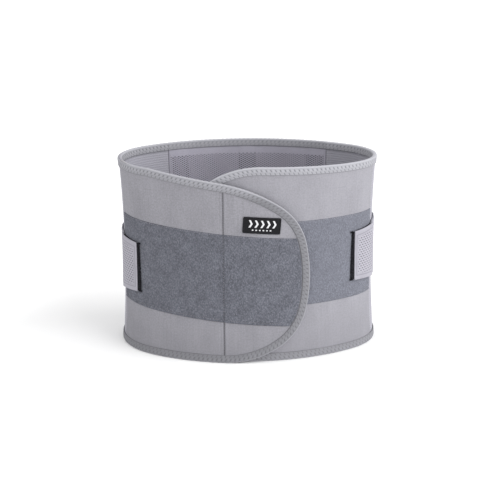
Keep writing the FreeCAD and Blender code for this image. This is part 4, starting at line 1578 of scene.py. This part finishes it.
class BELT_OT_tabs(bpy.types.Operator):
    """Make the embossed tab covers and the hook pads under them"""

    bl_idname = "belt.tabs"
    bl_label = "Tabs and hook pads"

    def execute(self, context):
        for wing in (LEFT, RIGHT):
            self.tab(WingCloth.of(wing))
        return {"FINISHED"}

    def tab(self, cloth):
        b, p = sizes(), Plies()
        wall, side, body = cloth.wall, cloth.wing.side, f"{cloth.wing.name}_tab"
        middle = cloth.tab_middle()
        start, end = b.tab_start, b.tab_start + b.tab_length + b.tab_over
        hook_start = b.wing_seam + b.tab_hook_after
        hook_end = b.tab_start + b.tab_length + b.tab_hook_past
        du, dz = 4.2 * MM, 5.2 * MM  # from pit to pit

        def half(s):
            """Half of the tab's height at a place."""
            front_y = abs(float(wall.points(end, p.tab_hook_at, wall.mid)[1]))
            y = np.abs(wall.points(s, p.tab_hook_at, wall.mid)[..., 1])
            return b.strap_height / 2 + (b.tab_front - b.strap_height) / 2 * y / front_y

        pits = []

        def cover(u, v):
            reach = half(u)
            height = (v * 2 - 1) * reach
            rim = np.minimum.reduce([u - start, end - u, reach - np.abs(height)])
            band = np.minimum.reduce([u - start, end - u + 2.4 * MM, reach - np.abs(height)])
            border = bump(band, 5.0 * MM, 0.5 * MM)
            field = np.zeros(len(u))
            light = np.zeros(len(u))
            for shift in (0.0, 0.5):
                a = np.mod((u - start) / du + shift, 1.0) - 0.5
                c = np.mod(height / dz + shift, 1.0) - 0.5
                away = np.hypot(a * du / 1.35, c * dz / 0.85)
                field += bump(away, 0.0, 0.85 * MM)
                light += bump(away, 1.7 * MM, 0.45 * MM)
            inside = smooth((np.minimum(end - u + 4.5 * MM, band) - 6.6 * MM) / (1.0 * MM))
            pit, light = np.clip(field, 0, 1) * inside, light * inside
            # Painted shading for the finish: shade in each pit and in the embossed border groove, highlights on the
            # ridges round each pit and on the rounded rim.
            line = 0.6 * bump(band, 5.0 * MM, 0.45 * MM) - 0.4 * bump(rim, 0.9 * MM, 0.5 * MM)
            pits.append(pit - 0.45 * light + line)
            low = 2.15 * MM * (1 - smooth((u - 17 * MM) / (9 * MM)))
            relief = 0.1 * MM * light - 0.42 * MM * pit - 0.28 * MM * border
            relief = relief - b.tab_cover * 0.55 * rounded(rim, 1.5 * MM)
            return u, p.tab_top - 0.5 * MM - low + relief, middle + height

        rim_steps = (0.2 * MM, 0.5 * MM, 0.9 * MM, 1.4 * MM)
        up = steps(b.strap_height, 0.6 * MM, rim_steps) / b.strap_height
        mesh = grid("cover", start + steps(end - start, 0.6 * MM, rim_steps), up, cover, wall)
        keep(mesh, "pits", pits[0])
        riding(piece(f"{body}_cover_cloth", mesh, "tab_cloth", b.tab_cover * 0.36), body, f"{body}_cover")

        def pad(u, v):
            t = v * 2 - 1
            past = smooth((u - end + 4 * MM) / (6 * MM))
            fray = np.array([noise.noise(Vector((c * 22, 4.0, side))) for c in v])
            short = 1.5 * MM * smooth(t * 0.5 + 0.5) - 0.8 * MM * fray
            short = short * smooth((u - hook_start) / (30 * MM))
            reach = half(np.minimum(u, end)) - past * (1.0 * MM + 0.5 * MM * uneven(u, v, 260, 9, 2.0 + side))
            rim = np.minimum(hook_end - u, reach - np.abs(t) * reach)
            out = p.tab_hook_at + b.tab_hook * (0.35 + 0.6 * smooth(rim / (1.6 * MM)))
            fuzz = 0.22 * MM * uneven(u, v, 800, 60, 7.0) * past
            return np.minimum(u - short, hook_end), out + fuzz, middle + t * reach

        across = hook_start + steps(hook_end - hook_start, 0.8 * MM, (0.3 * MM,))
        mesh = grid("pad", across, steps(1.0, 0.013, (0.004, 0.009)), pad, wall)
        riding(piece(f"{body}_hook_pad", mesh, "hook_tape", 0.5 * MM), body, f"{body}_hook")
        self.fibres(cloth, body, end, hook_end, float(half(np.array([end]))[0]))

    def fibres(self, cloth, body, end, hook_end, half):
        """Loose fibres along the hook pad's free edges."""
        b, p = sizes(), Plies()
        count = 420
        places = []
        for k in range(count):
            r = [noise.noise(Vector((k * 1.37, m * 5.1, cloth.wing.side))) for m in range(4)]
            if k % 3:
                t = k / count * 2 - 1
                s = hook_end - 1.2 * MM + r[0] * 1.2 * MM - t * 0.8 * MM
                z = t * (half - 1.0 * MM)
                turn = 0.5 * r[2] * math.pi
            else:
                s = end + 1.0 * MM + (k / count) * (hook_end - end)
                z = math.copysign(half - 0.7 * MM, r[1])
                turn = math.pi / 2 + r[2]
            out = p.tab_hook_at + b.tab_hook * (0.55 + 0.4 * r[3])
            places.append((s, out, cloth.tab_middle() + z, turn, (2.2 * MM, 0.16 * MM, 0.16 * MM)))
        riding(piece(f"{body}_hook_fibres", scattered("fibres", places, cloth.wall), "hook_tape"), body)


class BELT_OT_label(bpy.types.Operator):
    """Make the rubber label with its raised rim and plain chevrons"""

    bl_idname = "belt.label"
    bl_label = "Label"

    def execute(self, context):
        b, p = sizes(), Plies()
        cloth = WingCloth.of(LEFT)
        tilt = math.radians(-4.2)
        centre_z = cloth.wall.mid + b.label_up
        centre_s = float(cloth.wall.along(b.label_x, centre_z))
        half_w, half_h = b.label_width / 2, b.label_height / 2
        corner = 2.6 * MM

        def chevron(x, z, at):
            up = np.abs(z - 1.6 * MM)
            arm = np.abs(x - at - 0.55 * (3.8 * MM - up))
            return smooth((1.15 * MM - arm) / (0.35 * MM)) * smooth((4.1 * MM - up) / (0.4 * MM))

        def dash(x, z, at):
            across = smooth((1.0 * MM - np.abs(x - at)) / (0.3 * MM))
            return across * smooth((0.75 * MM - np.abs(z + 5.0 * MM)) / (0.3 * MM))

        marks = []

        def lay(u, v):
            x, z = u - half_w, v - half_h
            qx = np.maximum(np.abs(x) - (half_w - corner), 0)
            qz = np.maximum(np.abs(z) - (half_h - corner), 0)
            fit = np.where((qx > 0) & (qz > 0), np.minimum(1, corner / np.maximum(np.hypot(qx, qz), 1e-9)), 1.0)
            x = np.sign(x) * np.where(qx > 0, (half_w - corner) + qx * fit, np.abs(x))
            z = np.sign(z) * np.where(qz > 0, (half_h - corner) + qz * fit, np.abs(z))
            rim = np.minimum(half_w - np.abs(x), half_h - np.abs(z))
            floor = 0.32 * MM * smooth((rim - 1.0 * MM) / (0.35 * MM))
            mark = sum(chevron(x, z, at * MM) for at in (-12.4, -6.4, -0.4, 5.6, 11.6))
            mark = mark + sum(dash(x, z, at * MM) for at in (-9.0, -5.4, -1.8, 1.8, 5.4, 9.0))
            marks.append(np.clip(mark, 0, 1))
            rise = 0.30 * MM * marks[-1] - 0.35 * MM * rounded(rim, 0.5 * MM) - floor
            lift = cloth.lie(np.full(len(u), centre_s), np.full(len(u), centre_z))
            s = centre_s + x * math.cos(tilt) - z * math.sin(tilt)
            up = centre_z + x * math.sin(tilt) + z * math.cos(tilt)
            return s, p.body + b.ply_gap + b.label_thickness + rise + lift, up

        rim = (0.12 * MM, 0.3 * MM, 0.55 * MM, 1.0 * MM, 1.3 * MM)
        across, up = (steps(total, 0.3 * MM, rim) for total in (b.label_width, b.label_height))
        mesh = grid("label", across, up, lay, cloth.wall)
        keep(mesh, "marks", marks[0])
        riding(piece("front_label", mesh, "label_rubber", 0.75 * MM), "left_tip", "label")
        return {"FINISHED"}


def channel_places():
    """The stay channels' middles, from the centre of the back."""
    return [k * sizes().channel_pitch for k in (-1, 0, 1)]


def strap_span():
    """The lowest and highest line of both straps behind the back."""
    b = sizes()
    ups = (LEFT.tab_up * MM, RIGHT.tab_up * MM)
    return b.height / 2 + min(ups) - b.strap_height / 2, b.height / 2 + max(ups) + b.strap_height / 2


class BELT_OT_back_panel(bpy.types.Operator):
    """Make the back panel: outer cover, mesh lining, channels, and the patch over the strap ends"""

    bl_idname = "belt.back_panel"
    bl_label = "Back panel"

    def execute(self, context):
        wall = BackWall()
        low, high = cloth_rims()
        seam = sizes().back_seam
        for obj in (self.cover(wall, low, high), self.mesh_lining(wall, low, high)):
            rests_on = ["stay_channel_1", "stay_channel_3"]
            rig.sheet(obj, flat=(2 * seam, high - low), held="stretched", rests_on=rests_on)
        self.sleeves(wall)
        self.patch(wall)
        return {"FINISHED"}

    def cover(self, wall, low, high):
        b, p = sizes(), Plies()
        seam = b.back_seam
        half = b.channel_width / 2

        def sewn(q, z):
            held = (np.abs(q) > seam - 3 * MM) | (z < b.binding_width) | (z > b.height - b.binding_width)
            for at in channel_places():
                held |= np.abs(np.abs(q - at) - half) < 1.6 * MM
            return held.astype(float)

        relief = Relief(-seam, seam, b.height, sewn, 11.0, 0.4 * MM)

        def lay(u, v):
            lift = relief.at(u, v)
            inside = smooth((v - 12 * MM) / (10 * MM)) * smooth((b.height - 12 * MM - v) / (10 * MM))
            for at in channel_places():
                off = np.abs(u - at)
                ridge = 0.45 * MM * smooth((8.5 * MM - off) / (4 * MM))
                ridge = ridge - 0.4 * MM * bump(off, half - MM, 0.7 * MM)
                lift = lift + inside * ridge
            up = np.abs(v - b.height / 2)
            behind = smooth((b.patch_half + 4 * MM - np.abs(u)) / (8 * MM))
            behind = behind * smooth((45 * MM - up) / (6 * MM))
            lift = np.minimum(lift, 0.45 * MM) * (1 - behind)
            strap = smooth((47 * MM - up) / (5 * MM))
            lift = np.where(strap > 0, np.minimum(lift, 0.03 * MM) * strap + lift * (1 - strap), lift)
            return u, p.body + lift, v

        mesh = grid("back", steps(2 * seam, 1.5 * MM) - seam, low + steps(high - low, 1.6 * MM), lay, wall)
        return riding(piece("back_cover_cloth", mesh, "back_cloth", b.face), "back", "back_outer_cover")

    def mesh_lining(self, wall, low, high):
        """Open-hole lining: a net whose holes are larger over the stay channels, with plain strips round it."""
        b = sizes()
        seam, half = b.back_seam, b.channel_width / 2
        width, height = 2 * seam, high - low
        columns, rows = int(width / (2.2 * MM)), int(height / (1.2 * MM))
        bm = unit_grid(columns, rows)
        for v in bm.verts:
            v.co = Vector((v.co.x * width, low + (v.co.y + 0.5) * height, 0.0))
        bm.faces.ensure_lookup_table()
        fine, wide = [], []
        for f in bm.faces:
            c = f.calc_center_median()
            i, j = int((c.x + seam) / width * columns), int((c.y - low) / height * rows)
            plain = abs(c.x) > seam - 1.2 * MM or c.y < low + 15 * MM or c.y > high - 15.5 * MM
            if not plain and (i + j) % 2 == 0:
                over_stay = any(abs(c.x - k) < half - 0.5 * MM for k in channel_places())
                (wide if over_stay else fine).append(f)
        bmesh.ops.inset_individual(bm, faces=fine, thickness=0.33 * MM)
        bmesh.ops.inset_individual(bm, faces=wide, thickness=0.24 * MM)
        bmesh.ops.delete(bm, geom=fine + wide, context="FACES")
        mesh = mesh_from(bm, "mesh_lining")
        co = vertex_places(mesh)
        q, z = co[:, 0], co[:, 1]
        out = np.zeros(len(q))
        for at in channel_places():
            off = np.abs(q - at)
            out += 0.25 * MM * bump(off, half, 0.9 * MM) - 0.25 * MM * smooth((8 * MM - off) / (4 * MM))
        put_on_wall(mesh, wall, q, out, z, np.stack([q, z], axis=1))
        return riding(piece("back_mesh_cloth", mesh, "mesh_lining", 0.4 * MM), "back", "back_mesh_lining")

    def sleeves(self, wall):
        """The tape sleeves of the stays, and the felt that fills the panel between them; the felt is painted dark,
        standing in for the shade seen through the mesh lining's holes.
        """
        b, p = sizes(), Plies()
        low, height = CHANNEL_END, b.height - 2 * CHANNEL_END
        half = b.channel_width / 2
        for number, at in enumerate(channel_places(), 1):

            def lay(u, v):
                crown = smooth((half - np.abs(u - at)) / (3.5 * MM))
                return u, p.foam_at + b.foam * (0.45 + 0.5 * crown) - 0.02 * MM, v

            mesh = grid("sleeve", at - half + steps(2 * half, 1.0 * MM), low + steps(height, 3.0 * MM), lay, wall)
            obj = piece(f"stay_sleeve_{number}", mesh, "channel_tape", b.foam * 0.42)
            riding(obj, "back", f"stay_channel_{number}")
        across = steps(2 * b.back_seam - 2 * MM, 4 * MM) - b.back_seam + MM
        felt = flat_sheet("felt", across, low + steps(height, 4 * MM), p.face_at - 0.1 * MM, wall)
        riding(piece("back_felt", felt, "back_felt", 0.3 * MM), "back")

    def patch(self, wall):
        """The cloth patch over the straps' rear ends, and what fills it between them."""
        b, p = sizes(), Plies()
        low, high = strap_span()
        margin, half = b.patch_margin, b.patch_half
        at = p.strap_top + b.ply_gap
        rest = p.body + 0.1 * MM

        def lay(u, v):
            rim = np.minimum.reduce([half - np.abs(u), v - low + margin, high + margin - v])
            over = smooth((np.minimum(v - low, high - v) + 3 * MM) / (4 * MM))
            over = over * smooth((half - np.abs(u)) / (0.6 * MM))
            seam = 0.3 * MM * (bump(rim, 2.6 * MM, 0.5 * MM) + bump(np.abs(np.abs(u) - PATCH_ROW), 0, 0.5 * MM))
            puff = 0.15 * MM * uneven(u, v, 60, 60, 3.0) * (rim > 4 * MM)
            step = smooth(rim / (1.0 * MM)) * 0.45 + 0.55
            return u, rest + (at - rest) * over + 1.0 * MM * step - seam + puff, v

        rim = (0.3 * MM, 0.7 * MM, 1.2 * MM)
        up = low - margin + steps(high - low + 2 * margin, 1.0 * MM, rim)
        mesh = grid("patch", steps(2 * half, 1.0 * MM, rim) - half, up, lay, wall)
        riding(piece("strap_patch_cloth", mesh, "back_cloth", 0.55 * MM), "back", "strap_anchor_patch")
        across = steps(2 * b.strap_anchor - MM, 3 * MM) - b.strap_anchor + MM / 2
        mesh = flat_sheet("filler", across, low + steps(high - low, 3 * MM), p.strap_top - 0.1 * MM, wall)
        riding(piece("strap_patch_filler", mesh, "back_cloth", 1.2 * MM), "back", "strap_anchor_filler")


def flat_sheet(name, across, up, out, wall):
    return grid(name, across, up, lambda u, v: (u, np.full(len(u), out), v), wall)


class BELT_OT_seams(bpy.types.Operator):
    """Sew the visible rows of thread"""

    bl_idname = "belt.seams"
    bl_label = "Seams"

    def execute(self, context):
        for wing in (LEFT, RIGHT):
            self.bands(wing)
        self.fold()
        self.tabs()
        self.back()
        return {"FINISHED"}

    def sew(self, name, places, wall):
        return piece(name, scattered(name, places, wall), "thread")

    def bands(self, wing):
        """One row inside the loop band's lower edge, one along its top."""
        b, p = sizes(), Plies()
        cloth = WingCloth.of(wing)
        inset = b.binding_width + EDGE_GAP

        def out(s, z):
            return p.body + b.loop - 0.05 * MM + float(cloth.lie(np.array([s]), np.array([z]))[0])

        for level, above in ((0, 3.0 * MM), (1, -0.9 * MM)):
            at = cloth.seam.where(lambda s, z: z < cloth.band(s)[level], inset)
            end = float(cloth.seam.at(at, inset)[0]) - 1.5 * MM
            cut = float(cloth.fold(cloth.wall.mid)) if wing.lap else end

            def line(s):
                return s, cloth.band(np.array([s]))[level][0] + above

            start = b.wing_seam + 1.5 * MM
            for part, first, last in (("wing", start, cut - 4 * MM), ("tip", cut + 4 * MM, end)):
                if part in parts_of(wing):
                    places = stitch_row(line, first, last, out)
                    name = f"{wing.name}_{part}"
                    riding(self.sew(f"{name}_loop_seam_{level}", places, cloth.wall), name)

    def fold(self):
        """The upright row where the closing tip folds."""
        b, p = sizes(), Plies()
        cloth = WingCloth.of(LEFT)
        places = []
        top = np.interp(cloth.fold(cloth.wall.mid), *cloth.top_line()) - b.binding_width
        for z in pitched(b.binding_width, top):
            s = float(cloth.fold(z))
            low, high = cloth.band(np.array([s]))
            out = p.body - 0.35 * MM + (b.loop if low[0] < z < high[0] else 0.0)
            places.append((s, out, z, math.pi / 2, (1.9 * MM, 0.3 * MM, 0.28 * MM)))
        blend_fold(self.sew("fold_seam", places, cloth.wall))

    def tabs(self):
        b, p = sizes(), Plies()
        at, out = b.tab_start + 2.2 * MM, p.tab_top - 2.67 * MM
        size = (1.7 * MM, 0.3 * MM, 0.3 * MM)
        for wing in (LEFT, RIGHT):
            cloth = WingCloth.of(wing)
            middle, half = cloth.tab_middle(), b.strap_height / 2
            rows = pitched(middle - half, middle + half, 2.4 * MM)[1:-1]
            places = [(at, out, z, math.pi / 2, size) for z in rows]
            riding(self.sew(f"{wing.name}_tab_seam", places, cloth.wall), f"{wing.name}_tab")

    def back(self):
        b, p = sizes(), Plies()
        low, high = strap_span()
        margin = b.patch_margin
        places = []

        def stitch(q, out, z, turn=math.pi / 2):
            places.append((q, out, z, turn, SEAM_STITCH))

        for at in channel_places():
            for side in (-1, 1):
                q = at + side * (b.channel_width / 2 - MM)
                for z in pitched(12 * MM, b.height - 12 * MM):
                    stitch(q, -0.02 * MM, z)
                    if not low - margin - MM < z < high + margin + MM:
                        stitch(q, p.body - 0.25 * MM, z)
        half = b.patch_half - 2.6 * MM
        for z in (low - margin + 2.6 * MM, high + margin - 2.6 * MM):
            for q in pitched(-half, half):
                stitch(q, p.body + 0.9 * MM, z, 0.0)
        top = p.strap_top + b.ply_gap + 0.78 * MM
        for q in (-half, half, -PATCH_ROW, PATCH_ROW):
            for z in pitched(low, high - 2 * MM):
                stitch(q, top, z)
        for side in (-1, 1):
            q = side * (b.back_seam - 2 * MM)
            for z in pitched(10 * MM, b.height - 10 * MM):
                if not low < z < high:
                    stitch(q, p.body - 0.02 * MM, z)
                stitch(q, -0.05 * MM, z)
        riding(self.sew("back_seams", places, BackWall()), "back")


class BELT_OT_stays(bpy.types.Operator):
    """Finish the spring-steel stays and their plastic caps"""

    bl_idname = "belt.stays"
    bl_label = "Stays"

    def execute(self, context):
        for name, obj in frame["nodes"].items():
            if name == "stay_end_caps":
                paint(obj, finish("cap_plastic"))
            elif name.startswith("stay_") and not name.startswith("stay_channel"):
                paint(obj, finish("spring_steel"))
        return {"FINISHED"}


def paint(obj, material):
    obj.data.materials.clear()
    obj.data.materials.append(material)


# Each lamp's name, its turn from the front and rise in degrees, its spread in degrees, and its power.
LAMPS = (("key", 64, 25, 70, 3.0), ("fill", -78, 32, 80, 0.75))

# The camera that the photo was matched to: degrees, metres, millimetres of lens, and shifts in picture widths.
CAMERA = {"rise": 15.10, "roll": -0.445, "distance": 1.4559, "lens": 94.73, "shift": (0.00434, -0.01044)}


def seen_from(turn, rise):
    """The direction of a place seen from the middle, with its turn from the front and its rise in degrees."""
    turn, rise = math.radians(turn), math.radians(rise)
    return Vector((math.sin(turn) * math.cos(rise), -math.cos(turn) * math.cos(rise), math.sin(rise)))


class BELT_OT_stage(bpy.types.Operator):
    """Set the pale floor, the soft light and the camera"""

    bl_idname = "belt.stage"
    bl_label = "Stage"

    def execute(self, context):
        scene = context.scene
        scene.view_settings.view_transform = "Standard"
        bm = bmesh.new()
        bmesh.ops.create_grid(bm, x_segments=8, y_segments=8, size=6.0)
        bmesh.ops.translate(bm, verts=bm.verts, vec=(0, 0, -0.2 * MM))
        mesh = mesh_from(bm, "floor")
        f = Finish("floor_paper", tuple(colours().floor), roughness=0.9, specular=0.2)
        paper = f.noise(f.place(), 60.0, 3.0)
        mesh.materials.append(f.done(f.mix(paper, f.tone(0.995), f.tone(1.005)), paper, 0.00005, 0.2))
        floor = bpy.data.objects.new("floor", mesh)
        scene.collection.objects.link(floor)
        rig.stage(floor)
        world = bpy.data.worlds.new("studio")
        world.use_nodes = True
        sky = world.node_tree.nodes["Background"]
        sky.inputs["Color"].default_value = (1.0, 1.0, 1.0, 1.0)
        sky.inputs["Strength"].default_value = 0.80
        scene.world = world
        for name, turn, rise, spread, power in LAMPS:
            light = bpy.data.lights.new(name, "SUN")
            light.angle = math.radians(spread)
            light.energy = power
            lamp = bpy.data.objects.new(name, light)
            place = seen_from(turn, rise)
            lamp.location = 2 * place
            lamp.rotation_euler = (-place).to_track_quat("-Z", "Y").to_euler()
            scene.collection.objects.link(lamp)
        self.camera(scene)
        return {"FINISHED"}

    def camera(self, scene):
        lens = bpy.data.cameras.new("camera")
        lens.lens = CAMERA["lens"]
        lens.sensor_width = 36.0
        lens.shift_x, lens.shift_y = CAMERA["shift"]
        lens.clip_start = 0.05
        camera = bpy.data.objects.new("camera", lens)
        aim = Vector((0, 0, sizes().height / 2))
        camera.location = aim + CAMERA["distance"] * seen_from(0, CAMERA["rise"])
        look = (aim - camera.location).to_track_quat("-Z", "Y").to_matrix()
        camera.rotation_euler = (look @ Matrix.Rotation(math.radians(CAMERA["roll"]), 3, "Z")).to_euler()
        scene.collection.objects.link(camera)
        scene.camera = camera


PIECES = (
    BELT_OT_side_panels,
    BELT_OT_wing_cloths,
    BELT_OT_loop_bands,
    BELT_OT_bindings,
    BELT_OT_closing_hook,
    BELT_OT_straps,
    BELT_OT_tabs,
    BELT_OT_label,
    BELT_OT_back_panel,
    BELT_OT_seams,
    BELT_OT_stays,
    BELT_OT_stage,
)


class BELT_PT_panel(bpy.types.Panel):
    """Lists the belt's pieces in the order in which they are made"""

    bl_idname = "BELT_PT_panel"
    bl_label = "Lumbar support belt"
    bl_space_type = "VIEW_3D"
    bl_region_type = "UI"
    bl_category = "Belt"

    def draw(self, context):
        for operator in PIECES:
            self.layout.operator(operator.bl_idname)
        for group in (context.scene.belt_sizes, context.scene.belt_colours):
            for key in group.__annotations__:
                self.layout.prop(group, key)


CLASSES = (BeltSizes, BeltColours, *PIECES, BELT_PT_panel)


def register():
    for cls in CLASSES:
        bpy.utils.register_class(cls)
    bpy.types.Scene.belt_sizes = bpy.props.PointerProperty(type=BeltSizes)
    bpy.types.Scene.belt_colours = bpy.props.PointerProperty(type=BeltColours)


def unregister():
    del bpy.types.Scene.belt_colours
    del bpy.types.Scene.belt_sizes
    for cls in reversed(CLASSES):
        bpy.utils.unregister_class(cls)


def plain(box):
    return [[float(value) for value in corner] for corner in box]


def main():
    register()
    for operator in PIECES:
        group, name = operator.bl_idname.split(".")
        getattr(getattr(bpy.ops, group), name)()
    with open("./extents.json", "w") as file:
        json.dump({"cad_box": plain(CAD_BOX), "visual_box": plain(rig.bounds())}, file)


if __name__ == "__main__":
    main()
